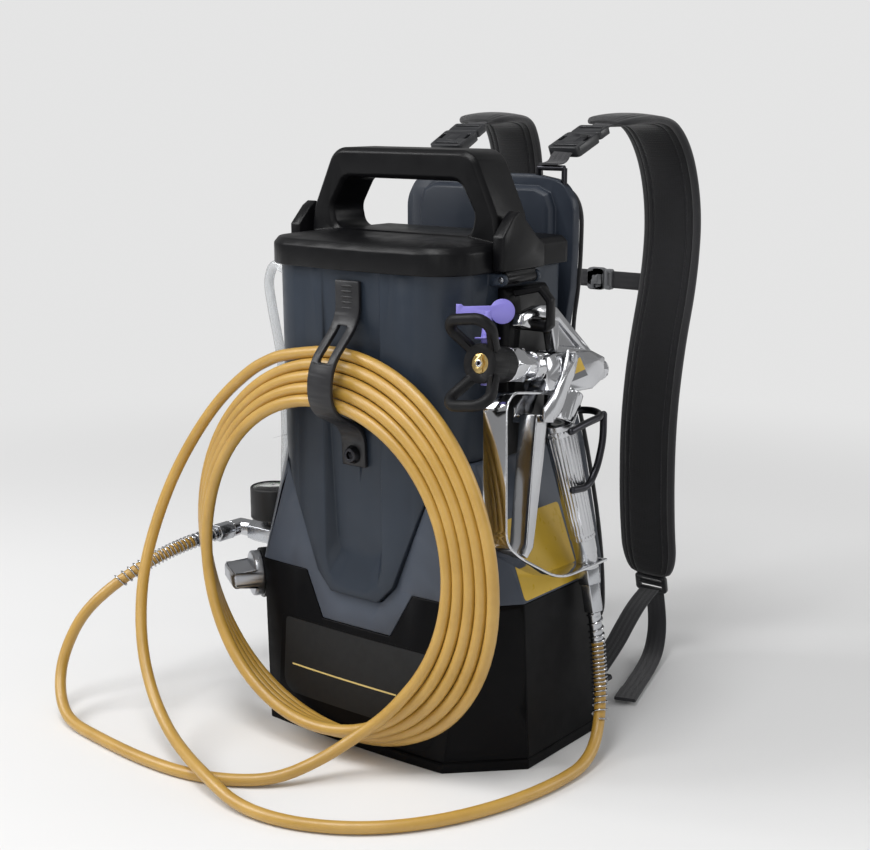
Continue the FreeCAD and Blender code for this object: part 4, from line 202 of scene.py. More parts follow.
def srgb(red, green, blue):
    # a colour read off as 0-255, as the linear colour that a shader takes
    def linear(value):
        share = value / 255.0
        return share / 12.92 if share <= 0.04045 else ((share + 0.055) / 1.055) ** 2.4
    return linear(red), linear(green), linear(blue)


def metres(points):
    return [Vector(point) * MM for point in points]


def lerp(low, high, share):
    return low + (high - low) * share


def on_circle(angle, radius=1.0):
    return radius * math.cos(angle), radius * math.sin(angle)


# Finishes

def add(tree, kind, inputs=(), prefix="ShaderNode", **settings):
    # one node; an input takes a plain value or another node's output
    made = tree.nodes.new(prefix + kind)
    for name, value in settings.items():
        setattr(made, name, value)
    for socket, value in dict(inputs).items():
        if isinstance(value, bpy.types.NodeSocket):
            tree.links.new(value, made.inputs[socket])
        else:
            made.inputs[socket].default_value = value
    return made


def maths(tree, operation, first, second=0.0):
    return add(tree, "Math", {0: first, 1: second}, operation=operation).outputs[0]


def start_finish(name, colour, roughness, values=()):
    material = bpy.data.materials.new(name)
    material.use_nodes = True
    shader = material.node_tree.nodes["Principled BSDF"]
    for socket, value in {"Base Color": (*colour, 1.0), "Roughness": roughness, **dict(values)}.items():
        shader.inputs[socket].default_value = value
    return material, material.node_tree, shader


def spot(tree, scale=(1.0, 1.0, 1.0), source="Object"):
    place = add(tree, "TexCoord").outputs[source]
    return add(tree, "Mapping", {"Vector": place, "Scale": scale}).outputs["Vector"]


def noise(tree, place, scale, detail=2.0, roughness=0.5):
    made = add(tree, "TexNoise", {"Vector": place, "Scale": scale, "Detail": detail, "Roughness": roughness})
    return made.outputs["Fac"]


def spread(tree, value, low=0.0, high=1.0):
    # the middle of a noise as a value between low and high
    made = add(tree, "MapRange", {"Value": value, "From Min": 0.3, "From Max": 0.7, "To Min": low,
                                  "To Max": high})
    return made.outputs["Result"]


def shades(colour, dark, light):
    # a darker and a lighter tone of a colour
    return tuple(c * dark for c in colour), tuple(min(1.0, c * light) for c in colour)


def tinted(tree, shader, factor, first, second):
    mix = add(tree, "Mix", {"Factor": factor, "A": (*first, 1.0), "B": (*second, 1.0)}, data_type="RGBA")
    tree.links.new(mix.outputs[2], shader.inputs["Base Color"])


def glossed(tree, shader, value, low, high):
    tree.links.new(spread(tree, value, low, high), shader.inputs["Roughness"])


def raise_bumps(tree, shader, height, depth, strength=1.0, edge=0.0):
    # height gives fine relief; edge rounds the light on corners
    bump = add(tree, "Bump", {"Height": height, "Distance": depth, "Strength": strength})
    if edge:
        corner = add(tree, "Bevel", {"Radius": edge}, samples=4)
        tree.links.new(corner.outputs["Normal"], bump.inputs["Normal"])
    tree.links.new(bump.outputs["Normal"], shader.inputs["Normal"])


def moulded(name, colour, roughness, grain=0.00005, grain_scale=1500.0, edge=0.0006, sheen=1.0):
    # moulded plastic: fine even grain, faint clouds in its tone and gloss
    material, tree, shader = start_finish(name, colour, roughness, {"Specular IOR Level": 0.5 * sheen})
    place = spot(tree)
    tinted(tree, shader, spread(tree, noise(tree, place, 14.0, 3.0)), *shades(colour, 0.86, 1.12))
    glossed(tree, shader, noise(tree, place, 60.0, 3.0), roughness - 0.05, roughness + 0.06)
    raise_bumps(tree, shader, noise(tree, place, grain_scale, 2.0, 0.65), grain, 0.7, edge)
    return material


def rubber(name, colour, roughness=0.62):
    material, tree, shader = start_finish(name, colour, roughness)
    place = spot(tree)
    dust = noise(tree, place, 35.0, 4.0, 0.6)
    tinted(tree, shader, spread(tree, dust), *shades(colour, 0.8, 1.3))
    glossed(tree, shader, dust, roughness - 0.06, roughness + 0.1)
    raise_bumps(tree, shader, noise(tree, place, 900.0, 3.0, 0.7), 0.00006, 0.8, 0.0008)
    return material


def metal(name, colour, roughness, grain=0.00002, stretch=(1.0, 1.0, 1.0), stain=0.05):
    # plated, brushed or cast metal: stretched grain, soft stains in its gloss
    material, tree, shader = start_finish(name, colour, roughness, {"Metallic": 1.0})
    lines = noise(tree, spot(tree, stretch), 420.0, 4.0, 0.6)
    cloud = noise(tree, spot(tree), 22.0, 3.0)
    tinted(tree, shader, spread(tree, cloud), *shades(colour, 0.9, 1.06))
    glossed(tree, shader, cloud, max(0.03, roughness - stain), roughness + stain)
    raise_bumps(tree, shader, lines, grain, 0.6, 0.0005)
    return material


def cast_metal(name, colour, roughness):
    # polished casting: bright, with a soft orange peel left under the polish
    material, tree, shader = start_finish(name, colour, roughness, {"Metallic": 1.0})
    place = spot(tree)
    cloud = noise(tree, place, 18.0, 3.0)
    tinted(tree, shader, spread(tree, cloud), *shades(colour, 0.86, 1.0))
    glossed(tree, shader, cloud, roughness - 0.03, roughness + 0.07)
    raise_bumps(tree, shader, noise(tree, place, 55.0, 2.0, 0.4), 0.00035, 0.5, 0.0007)
    return material


def amber_rubber():
    # the hose's sleeve: smooth amber elastomer with faint long streaks and scuffs
    material, tree, shader = start_finish("hose_amber_sleeve", srgb(198, 156, 66), 0.42, {
        "Specular IOR Level": 0.7, "Coat Weight": 0.6, "Coat Roughness": 0.42, "Subsurface Weight": 0.05,
        "Subsurface Radius": (0.004, 0.0022, 0.0008), "Subsurface Scale": 1.0})
    place = spot(tree)
    streak = noise(tree, place, 26.0, 4.0, 0.6)
    tinted(tree, shader, spread(tree, streak), srgb(178, 137, 48), srgb(193, 152, 66))
    glossed(tree, shader, noise(tree, place, 190.0, 3.0), 0.36, 0.50)
    raise_bumps(tree, shader, noise(tree, place, 700.0, 2.0), 0.00004, 0.5)
    return material


def strap_weave(name, colour):
    # webbing: chevron ribs across the strap, on its own UV map in metres, with painted shade in their grooves
    material, tree, shader = start_finish(name, colour, 0.78, {"Sheen Weight": 0.25, "Sheen Roughness": 0.5})
    place = add(tree, "SeparateXYZ", {"Vector": spot(tree, source="UV")}).outputs
    slant = maths(tree, "ADD", place["Y"], maths(tree, "PINGPONG", place["X"], 0.003))
    ribs = maths(tree, "SINE", maths(tree, "MULTIPLY", slant, 2.0 * math.pi / 0.0014))
    ridges_and_painted_shade = add(tree, "MapRange", {"Value": ribs, "From Min": -1.0, "From Max": 1.0}).outputs["Result"]
    # the ribs' height also sets the colour: painted shade in the grooves, a lighter painted highlight on the
    # crests
    tinted(tree, shader, ridges_and_painted_shade, *shades(colour, 0.6, 1.35))
    raise_bumps(tree, shader, ridges_and_painted_shade, 0.00025, 0.9)
    return material


def pad_cloth(name, colour):
    # spacer fabric: small woven cells with a soft sheen, in Object coordinates, with painted shade in their
    # hollows
    material, tree, shader = start_finish(name, colour, 0.88, {"Sheen Weight": 0.35, "Sheen Roughness": 0.4})
    place = spot(tree)
    cells = add(tree, "TexVoronoi", {"Vector": place, "Scale": 1.0 / 0.0021, "Randomness": 0.25})
    wear = spread(tree, noise(tree, place, 11.0, 4.0, 0.6), 0.4, 1.0)
    fuzz = noise(tree, place, 1300.0, 2.0, 0.7)
    cell_rims_and_painted_shade = add(tree, "MapRange", {"Value": cells.outputs["Distance"], "From Min": 0.15, "From Max": 0.6})
    # the cells' relief also sets the colour: painted shade in the hollows, lighter painted rims; wear varies
    # it at random
    tinted(tree, shader, maths(tree, "MULTIPLY", cell_rims_and_painted_shade.outputs["Result"], wear), *shades(colour, 0.55, 1.5))
    raise_bumps(tree, shader, maths(tree, "ADD", cell_rims_and_painted_shade.outputs["Result"], fuzz), 0.0003, 0.8)
    return material


def clear_plastic(name, colour, roughness=0.12):
    material, tree, shader = start_finish(name, colour, roughness, {"Transmission Weight": 0.72, "IOR": 1.4})
    haze = noise(tree, spot(tree), 30.0, 3.0)
    glossed(tree, shader, haze, roughness, roughness + 0.12)
    raise_bumps(tree, shader, haze, 0.0002, 0.3)
    return material


def lens_glass():
    material, tree, shader = start_finish("gauge_glass", (0.97, 0.98, 0.98), 0.02,
                                          {"Transmission Weight": 1.0, "IOR": 1.45})
    raise_bumps(tree, shader, noise(tree, spot(tree), 40.0), 0.00005, 0.2)
    return material


def printed(name, colour, roughness=0.3):
    # a printed or painted film: very smooth, a little wear in its gloss
    material, tree, shader = start_finish(name, colour, roughness)
    place = spot(tree)
    tinted(tree, shader, spread(tree, noise(tree, place, 20.0, 4.0, 0.6)), *shades(colour, 0.93, 1.05))
    glossed(tree, shader, noise(tree, place, 90.0, 3.0), roughness - 0.04, roughness + 0.08)
    raise_bumps(tree, shader, noise(tree, place, 600.0), 0.00002, 0.5)
    return material


FINISHES = {
    "housing_black": moulded("base_black_grain", srgb(7, 7, 9), 0.46, 0.00009, 1100.0, sheen=0.20),
    "flare_grey": moulded("flare_slate_satin", srgb(67, 74, 86), 0.38, 0.00004, edge=0.0012, sheen=0.8),
    "shell_blue_grey": moulded("shell_slate_satin", srgb(40, 48, 59), 0.38, 0.00004, edge=0.0012, sheen=0.7),
    "plate_dark": moulded("plate_slate_satin", srgb(40, 46, 56), 0.40, 0.00004, edge=0.0012, sheen=0.6),
    "lid_black": moulded("lid_soft_black", srgb(13, 13, 15), 0.34, 0.00006, 1300.0, edge=0.0016, sheen=0.38),
    "trim_black": moulded("trim_black", srgb(11, 11, 13), 0.34, 0.00005, edge=0.0012, sheen=0.45),
    "guard_black": moulded("guard_black_grain", srgb(15, 15, 17), 0.50, 0.00012, 900.0, sheen=0.5),
    "buckle_plastic": moulded("buckle_black", srgb(34, 35, 38), 0.34, 0.00003),
    "buckle_grey": moulded("sternum_buckle_grey", srgb(98, 99, 102), 0.42, 0.00003),
    "tip_purple": moulded("tip_purple", srgb(132, 125, 205), 0.34, 0.00002),
    "tank_white": moulded("tank_white", srgb(226, 226, 222), 0.36, 0.00003),
    "signal_red": moulded("signal_red", srgb(178, 28, 24), 0.34, 0.00002),
    "dial_white": printed("dial_white", srgb(238, 238, 234), 0.45),
    "seal_rubber": rubber("seal_rubber", srgb(28, 28, 28)),
    "strap_rubber": rubber("keeper_rubber", srgb(27, 27, 30), 0.42),
    "gauge_rubber": rubber("gauge_rubber", srgb(20, 20, 21), 0.5),
    "pad_fabric": pad_cloth("pad_spacer_fabric", srgb(19, 19, 22)),
    "pad_binding": strap_weave("pad_binding_tape", srgb(31, 31, 34)),
    "webbing": strap_weave("harness_webbing", srgb(36, 36, 40)),
    "thread": printed("stitch_thread", srgb(44, 44, 48), 0.7),
    "zinc_steel": metal("zinc_plated_steel", srgb(186, 188, 192), 0.24),
    "spring_steel": metal("spring_steel", srgb(190, 190, 192), 0.18, 0.00001),
    "black_steel": metal("black_oxide_steel", srgb(62, 62, 66), 0.32, 0.00003),
    "chrome": metal("bright_chrome", srgb(216, 217, 220), 0.10, 0.000004, stain=0.03),
    "polished_aluminium": cast_metal("polished_casting", srgb(208, 209, 212), 0.13),
    "satin_aluminium": metal("satin_aluminium", srgb(182, 184, 189), 0.34, 0.00003, (1.0, 9.0, 1.0)),
    "grip_aluminium": metal("grip_satin_aluminium", srgb(196, 197, 200), 0.24),
    "brass": metal("tip_seat_brass", srgb(206, 178, 118), 0.26),
    "gear_steel": metal("gear_steel", srgb(150, 150, 152), 0.38, 0.00004),
    "board_green": printed("board_green", srgb(24, 74, 44), 0.35),
    "clear_tube": clear_plastic("clear_return_tube", srgb(228, 230, 232)),
    "hose_amber": amber_rubber(),
    "lens": lens_glass(),
    "label_navy": printed("label_navy", srgb(6, 9, 13), 0.55),
    "label_gold": printed("label_line_pale_gold", srgb(214, 190, 122), 0.35),
    "label_yellow": printed("label_yellow", srgb(206, 170, 56)),
    "label_grey": printed("label_grey", srgb(104, 105, 108)),
    "ink": printed("dial_ink", srgb(20, 20, 22), 0.5),
    "dial_green": printed("dial_green", srgb(66, 134, 76), 0.45),
}
SLOTS = {part["node"]: part["material_slot"] for part in frame["record"]["subparts"]}


# Making pieces

def shade(mesh, angle=32.0):
    mesh.polygons.foreach_set("use_smooth", [True] * len(mesh.polygons))
    mesh.set_sharp_from_angle(angle=math.radians(angle))
    return mesh


def mesh_from(shape, name):
    mesh = bpy.data.meshes.new(name)
    shape.to_mesh(mesh)
    shape.free()
    return mesh


def in_finish(mesh, finish):
    mesh.materials.clear()
    mesh.materials.append(FINISHES[finish])
    return mesh


def linked(name, data):
    made = bpy.data.objects.new(name, data)
    scene.collection.objects.link(made)
    return made


def show(name, mesh, finish, body, slot, *nodes):
    # a finished mesh, or several, as a piece of the object, riding on a body and standing for CAD nodes
    if isinstance(mesh, list):
        mesh = joined(name, mesh)
    if not mesh.materials:
        mesh.materials.append(FINISHES[finish])
    piece = linked(name, mesh)
    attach(piece, body)
    if nodes:
        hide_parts(*nodes)
    return piece


def bake(working, name):
    # the working object's evaluated form as a plain mesh; the working object goes
    depsgraph = bpy.context.evaluated_depsgraph_get()
    mesh = bpy.data.meshes.new_from_object(working.evaluated_get(depsgraph), depsgraph=depsgraph)
    mesh.name = name
    data = working.data
    bpy.data.objects.remove(working)
    if data.users == 0:
        (bpy.data.meshes if isinstance(data, bpy.types.Mesh) else bpy.data.curves).remove(data)
    return mesh


def modified(mesh, **stack):
    # a mesh with modifiers applied, in the order given: kind and settings of each
    working = linked("working", mesh)
    for kind, settings in stack.items():
        modifier = working.modifiers.new(kind, kind)
        for setting, value in settings.items():
            setattr(modifier, setting, value)
    return bake(working, mesh.name)


def rounded(mesh, width):
    # sharp edges rolled over by a bevel
    rolled = modified(mesh, BEVEL={
        "width": width, "segments": 3, "limit_method": "ANGLE", "angle_limit": math.radians(30.0),
        "use_clamp_overlap": False, "harden_normals": True, "miter_outer": "MITER_ARC"})
    return shade(rolled, 40.0)


def merged(node):
    # a CAD node's skin with its loose triangles merged
    shape = bmesh.new()
    shape.from_mesh(frame["nodes"][node].data)
    bmesh.ops.remove_doubles(shape, verts=shape.verts, dist=3e-6)
    return shape


def skin(node, edge, finish):
    # a CAD node dressed: same shape, flat faces whole again, rolled edges, smooth shading
    shape = merged(node)
    bmesh.ops.dissolve_limit(shape, angle_limit=math.radians(0.4), verts=shape.verts, edges=shape.edges)
    mesh = shade(mesh_from(shape, node))
    if edge:
        mesh = rounded(mesh, edge)
    mesh.materials.clear()
    show(node + "_skin", mesh, finish, frame["nodes"][node]["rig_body"], SLOTS[node], node)


def plate(outline, thickness, holes=(), bevel=0.0, name="plate"):
    # a flat plate with rounded edges in its own XY plane, its middle at z 0
    shape = bmesh.new()
    rings = []
    for ring in [outline, *holes]:
        corners = [shape.verts.new((x, y, -thickness / 2)) for x, y in ring]
        rings += [shape.edges.new((corners[i - 1], corners[i])) for i in range(len(corners))]
    filled = bmesh.ops.triangle_fill(shape, edges=rings, use_beauty=True)
    faces = [f for f in filled["geom"] if isinstance(f, bmesh.types.BMFace)]
    grown = bmesh.ops.extrude_face_region(shape, geom=faces)
    lifted = [v for v in grown["geom"] if isinstance(v, bmesh.types.BMVert)]
    bmesh.ops.translate(shape, verts=lifted, vec=(0, 0, thickness))
    bmesh.ops.dissolve_limit(shape, angle_limit=math.radians(1.0), verts=shape.verts, edges=shape.edges)
    bmesh.ops.recalc_face_normals(shape, faces=shape.faces)
    mesh = shade(mesh_from(shape, name))
    return rounded(mesh, bevel) if bevel else mesh


def rounded_outline(half_w, half_h, corner, steps=6):
    points = []
    for cx, cy, first in ((1, 1, 0), (-1, 1, 90), (-1, -1, 180), (1, -1, 270)):
        for k in range(steps + 1):
            x, y = on_circle(math.radians(first + 90.0 * k / steps), corner)
            points.append((cx * (half_w - corner) + x, cy * (half_h - corner) + y))
    return points


def shifted(outline, x, y=0.0):
    return [(px + x, py + y) for px, py in outline]


def slab(half_w, half_h, corner, x, y, thickness, bevel, holes=()):
    # a plate with a rounded outline, beside the middle of its plane
    return plate(shifted(rounded_outline(half_w, half_h, corner), x, y), thickness, holes, bevel)


def circle(radius, count=48):
    return [on_circle(2 * math.pi * k / count, radius) for k in range(count)]


def sector(inner, outer, first, last, steps=24):
    angles = [math.radians(lerp(first, last, k / steps)) for k in range(steps + 1)]
    return [on_circle(a, outer) for a in angles] + [on_circle(a, inner) for a in reversed(angles)]


def joined(name, meshes):
    # several meshes as one, each keeping its own material
    shape = bmesh.new()
    finishes = []
    for mesh in meshes:
        first = len(shape.faces)
        shape.from_mesh(mesh)
        shape.faces.ensure_lookup_table()
        if mesh.materials:
            if mesh.materials[0] not in finishes:
                finishes.append(mesh.materials[0])
            for face in shape.faces[first:]:
                face.material_index = finishes.index(mesh.materials[0])
    whole = mesh_from(shape, name)
    for finish in finishes:
        whole.materials.append(finish)
    return shade(whole, 40.0)


def flipped(mesh):
    # the same mesh for the other side of the object
    copy = mesh.copy()
    copy.transform(Matrix.Diagonal((-1, 1, 1, 1)))
    copy.flip_normals()
    return copy


def placed(mesh, centre, x, y):
    # a mesh made in its own plane, put where it belongs
    x, y = x.normalized(), y.normalized()
    mesh.transform(Matrix.Translation(centre) @ Matrix((x, y, x.cross(y))).transposed().to_4x4())
    return mesh


def ring_about(centre, side, up, radius, count):
    return [centre + (side * c + up * s) * radius
            for c, s in (on_circle(2 * math.pi * k / count) for k in range(count))]


def ring_sweep(name, rings, closed=False):
    # faces between rings of points; every ring has as many points
    shape = bmesh.new()
    rows = [[shape.verts.new(point) for point in points] for points in rings]
    count = len(rows[0])
    for low, high in list(zip(rows, rows[1:])) + ([(rows[-1], rows[0])] if closed else []):
        for i in range(count):
            j = (i + 1) % count
            shape.faces.new((low[i], low[j], high[j], high[i]))
    if not closed:
        shape.faces.new(list(reversed(rows[0])))
        shape.faces.new(rows[-1])
    bmesh.ops.recalc_face_normals(shape, faces=shape.faces)
    return shade(mesh_from(shape, name))


def curve_through(name, points, resolution=12, smooth=True):
    # a curve with these control points: a smooth spline, or straight from point to point
    curve = bpy.data.curves.new(name, "CURVE")
    curve.dimensions = "3D"
    curve.resolution_u = resolution
    spline = curve.splines.new("NURBS" if smooth else "POLY")
    spline.points.add(len(points) - 1)
    for control, point in zip(spline.points, points):
        control.co = (*point, 1.0)
    if smooth:
        spline.order_u = 3
        spline.use_endpoint_u = True
    return curve


def smooth_line(points, resolution=12):
    # points read from a smooth spline with these control points
    mesh = bake(linked("line", curve_through("line", points, resolution)), "line")
    line = [vertex.co.copy() for vertex in mesh.vertices]
    bpy.data.meshes.remove(mesh)
    return line


def swept_lengths(line):
    run = [0.0]
    for a, b in zip(line, line[1:]):
        run.append(run[-1] + (b - a).length)
    return run


def evenly(line, spacing):
    # the same line with its points an even distance apart
    lengths = swept_lengths(line)
    count = max(2, round(lengths[-1] / spacing))
    points, i = [], 0
    for k in range(count + 1):
        want = lengths[-1] * k / count
        while i < len(line) - 2 and lengths[i + 1] < want:
            i += 1
        share = (want - lengths[i]) / max(lengths[i + 1] - lengths[i], 1e-9)
        points.append(line[i].lerp(line[i + 1], min(1.0, share)))
    return points


def stretch_of(line, step, start, length, extra=0):
    # the part of a line from start over a length
    return evenly(line, step)[round(start / step):round((start + length) / step) + extra]


def directions(line):
    return [(line[min(i + 1, len(line) - 1)] - line[max(i - 1, 0)]).normalized() for i in range(len(line))]


def level_frames(line, across=AXIS_X):
    # for each point of a strap's line: its place, the way across it and the way out of its face
    frames = []
    for point, along in zip(line, directions(line)):
        side = (across - along * across.dot(along)).normalized()
        frames.append((point, side, along.cross(side)))
    return frames


def rounded_patch(x0, x1, z0, z1, low_corner, top_corner, plane):
    # a rectangle with rounded corners as a grid, closer at its edges; plane turns (x, z) into a point
    half, middle = (x1 - x0) / 2, (x0 + x1) / 2

    def point(u, v):
        z = lerp(z0, z1, 0.5 - 0.5 * math.cos(math.pi * v))
        corner, near = (low_corner, z - z0) if z < (z0 + z1) / 2 else (top_corner, z1 - z)
        inset = corner - math.sqrt(max(0.0, corner ** 2 - max(0.0, corner - near) ** 2))
        return plane(middle + (half - inset) * (2 * u - 1), z)
    return point


def film(node, plane, towards, finish, area, corners, lift):
    # a thin film laid on a node: a grid of points shot along a direction onto its surface
    tree = BVHTree.FromObject(frame["nodes"][node], bpy.context.evaluated_depsgraph_get())
    patch = rounded_patch(*area, *corners, plane)
    columns, lines = FILM_GRID
    shape = bmesh.new()
    rows = []
    for j in range(lines + 1):
        starts = [patch(i / columns, j / lines) - towards * FILM_REACH for i in range(columns + 1)]
        rows.append([shape.verts.new(tree.ray_cast(start, towards)[0] - towards * lift) for start in starts])
    for low, high in zip(rows, rows[1:]):
        for i in range(columns):
            shape.faces.new((low[i], low[i + 1], high[i + 1], high[i]))
    shape.normal_update()
    if shape.faces[:][0].normal.dot(towards) > 0:
        bmesh.ops.reverse_faces(shape, faces=shape.faces)
    solid = modified(mesh_from(shape, "film"), SOLIDIFY={"thickness": FILM_THICK, "offset": -1.0})
    return in_finish(shade(solid), finish)


# Things grown on a line by geometry nodes

def path_group(name, sizes, result):
    # a node group that makes a mesh of a path; its sizes and its finish are named inputs
    tree = bpy.data.node_groups.new(name, "GeometryNodeTree")
    tree.is_modifier = True
    kinds = {"Path": "Geometry", **dict.fromkeys(sizes, "Float"), "Finish": "Material"}
    sockets = {}
    for label, kind in kinds.items():
        made = tree.interface.new_socket(label, in_out="INPUT", socket_type="NodeSocket" + kind)
        sockets[label] = made.identifier
    tree.interface.new_socket(result, in_out="OUTPUT", socket_type="NodeSocketGeometry")
    return tree, sockets, tree.nodes.new("NodeGroupInput").outputs


def geometry(tree, kind, inputs=(), **settings):
    return add(tree, kind, inputs, "GeometryNode", **settings)


def close_group(tree, given, made):
    painted = geometry(tree, "SetMaterial", {"Geometry": made, "Material": given["Finish"]})
    tree.links.new(painted.outputs["Geometry"], tree.nodes.new("NodeGroupOutput").inputs[0])


def grown(group, line, finish, sizes):
    # what a node group makes of a line, as a plain mesh
    tree, sockets = group
    working = linked("path", curve_through("path", line, smooth=False))
    growing = working.modifiers.new("growing", "NODES")
    growing.node_group = tree
    for label, value in {**sizes, "Finish": FINISHES[finish]}.items():
        growing[sockets[label]] = value
    return in_finish(bake(working, "grown"), finish)


def spring_group():
    # a wire wound round a path: closer together at both ends of it
    sizes = ("Winding radius", "Wire radius", "Coils", "Tight ends")
    tree, sockets, given = path_group("bend_spring_wire", sizes, "Spring")

    def vectors(operation, first, second):
        inputs = {0: first, ("Scale" if operation == "SCALE" else 1): second}
        return add(tree, "VectorMath", inputs, operation=operation).outputs[0]

    fine = geometry(tree, "ResampleCurve", {"Curve": given["Path"], "Count": 900})
    share = geometry(tree, "SplineParameter").outputs["Factor"]
    wave = maths(tree, "SINE", maths(tree, "MULTIPLY", share, 2 * math.pi))
    eased = maths(tree, "ADD", share, maths(tree, "MULTIPLY", wave, given["Tight ends"]))
    angle = maths(tree, "MULTIPLY", maths(tree, "MULTIPLY", eased, given["Coils"]), 2 * math.pi)
    normal = geometry(tree, "InputNormal").outputs[0]
    side = vectors("CROSS_PRODUCT", geometry(tree, "InputTangent").outputs[0], normal)
    out = vectors("ADD", vectors("SCALE", normal, maths(tree, "COSINE", angle)),
                  vectors("SCALE", side, maths(tree, "SINE", angle)))
    kept = geometry(tree, "CaptureAttribute", {"Geometry": fine.outputs["Curve"]})
    kept.capture_items.new("VECTOR", "offset")
    tree.links.new(vectors("SCALE", out, given["Winding radius"]), kept.inputs[1])
    wound = geometry(tree, "SetPosition", {"Geometry": kept.outputs["Geometry"], "Offset": kept.outputs[1]})
    profile = geometry(tree, "CurvePrimitiveCircle", {"Resolution": 8, "Radius": given["Wire radius"]})
    wire = geometry(tree, "CurveToMesh", {"Curve": wound.outputs["Geometry"],
                                          "Profile Curve": profile.outputs["Curve"], "Fill Caps": True})
    real = geometry(tree, "RealizeInstances", {"Geometry": wire.outputs["Mesh"]})
    smooth = geometry(tree, "SetShadeSmooth", {"Geometry": real.outputs["Geometry"]})
    close_group(tree, given, smooth.outputs["Geometry"])
    return tree, sockets


def stitch_group():
    # short stitches set along a path
    tree, sockets, given = path_group("stitches_along_seam", STITCHES, "Stitches")
    spaced = geometry(tree, "CurveToPoints", {"Curve": given["Path"], "Length": given["Spacing"]},
                      mode="LENGTH")
    thread = geometry(tree, "MeshCylinder", {"Vertices": 6, "Radius": given["Thread radius"],
                                             "Depth": given["Stitch length"]})
    placed_on = geometry(tree, "InstanceOnPoints", {
        "Points": spaced.outputs["Points"], "Rotation": spaced.outputs["Rotation"],
        "Instance": thread.outputs["Mesh"]})
    real = geometry(tree, "RealizeInstances", {"Geometry": placed_on.outputs["Instances"]})
    close_group(tree, given, real.outputs["Geometry"])
    return tree, sockets


# Camera, floor and light

def make_camera():
    data = bpy.data.cameras.new("photo_camera")
    data.lens = CAMERA_LENS
    data.sensor_width = 36.0
    data.clip_end = 50.0
    scene.camera = linked("photo_camera", data)
    scene.camera.location = CAMERA_PLACE
    scene.camera.rotation_euler = CAMERA_TURN


def make_sky():
    # the surroundings: full for the camera and through glass, dimmer in gloss and as light
    world = bpy.data.worlds.new("studio")
    world.use_nodes = True
    scene.world = world
    tree = world.node_tree
    rays = add(tree, "LightPath").outputs
    dim = add(tree, "MapRange", {"Value": rays["Is Glossy Ray"], "To Min": SKY_LEVEL, "To Max": GLOSS_LEVEL})
    clear = maths(tree, "MAXIMUM", rays["Is Camera Ray"], rays["Is Transmission Ray"])
    level = add(tree, "MapRange", {"Value": clear, "To Min": dim.outputs[0], "To Max": BACKDROP})
    background = tree.nodes["Background"]
    background.inputs["Color"].default_value = (1.0, 1.0, 1.0, 1.0)
    tree.links.new(level.outputs["Result"], background.inputs["Strength"])


def make_floor():
    shape = bmesh.new()
    bmesh.ops.create_grid(shape, x_segments=8, y_segments=8, size=FLOOR_HALF)
    material, tree, shader = start_finish("floor_pale", (FLOOR_COLOUR,) * 3, 0.9, {"Specular IOR Level": 0.1})
    glow = add(tree, "Emission", {"Color": (BACKDROP, BACKDROP, BACKDROP, 1.0), "Strength": 1.0})
    far = add(tree, "VectorMath", {0: spot(tree)}, operation="LENGTH")
    fade = add(tree, "MapRange", {"Value": far.outputs["Value"], "From Min": FADE_START,
                                  "From Max": FADE_END}, interpolation_type="SMOOTHSTEP")
    blend = add(tree, "MixShader", {0: fade.outputs["Result"], 1: shader.outputs[0], 2: glow.outputs[0]})
    tree.links.new(blend.outputs[0], tree.nodes["Material Output"].inputs["Surface"])
    floor = linked("floor", mesh_from(shape, "floor"))
    floor.data.materials.append(material)


def make_lamps():
    for name, (place, size, power) in LAMPS.items():
        data = bpy.data.lights.new(name, "AREA")
        data.size = size
        data.energy = power
        lamp = linked(name, data)
        lamp.location = place
        lamp.rotation_euler = (LAMP_AIM - Vector(place)).to_track_quat("-Z", "Y").to_euler()


# The hose, its bend springs and crimp sleeves

def coil_place(angle):
    # loops stacked outwards and backwards from the front one
    a = math.radians(angle)
    c, s = on_circle(a)

    def swaying(level, once, quarter, twice):
        return level + once * c + quarter * s + twice * math.cos(2 * a)

    gone = (angle - COIL_START) / 360.0 * COIL_PITCH
    lean = math.radians(swaying(*COIL_LEAN))
    out, back = on_circle(lean, gone)
    return Vector((COIL_CENTRE_X + (COIL_RADII[0] + out) * c, swaying(*COIL_FRONT) + back,
                   COIL_CENTRE_Z + (COIL_RADII[1] + out) * s)) * MM


def coil_direction(angle):
    return (coil_place(angle + 0.05) - coil_place(angle - 0.05)).normalized()


def gun_matrix():
    leaned = Matrix.Translation(GUN_PLACE) @ Matrix.Rotation(GUN_LEAN, 4, "Y")
    return leaned @ Matrix.Rotation(GUN_TILT, 4, "X")


def hose_route():
    start, end = coil_place(COIL_START), coil_place(COIL_END)
    lead_end = start - coil_direction(COIL_START) * LEAD_LAST_RUN * MM
    tail_start = end + coil_direction(COIL_END) * TAIL_FIRST_RUN * MM
    foot = gun_matrix() @ (GRIP_FOOT + SWIVEL_AIM * SWIVEL_REACH)
    down = (foot - gun_matrix() @ GRIP_FOOT).normalized()
    turns = round((COIL_END - COIL_START) / COIL_STEP)
    coil = [coil_place(lerp(COIL_START, COIL_END, k / turns)) for k in range(turns + 1)]
    return [*metres(LEAD_ROUTE), lead_end, *coil, tail_start, *metres(TAIL_ROUTE),
            foot + down * TAIL_FIRST_RUN * MM, foot]


def bend_spring(line, length, coils, tight, group):
    stretch = stretch_of(line, FINE_STEP, SPRING_START, length)
    return grown(group, stretch, "spring_steel", {"Winding radius": SPRING_RADIUS, "Wire radius": SPRING_WIRE,
                                                  "Coils": coils, "Tight ends": tight})


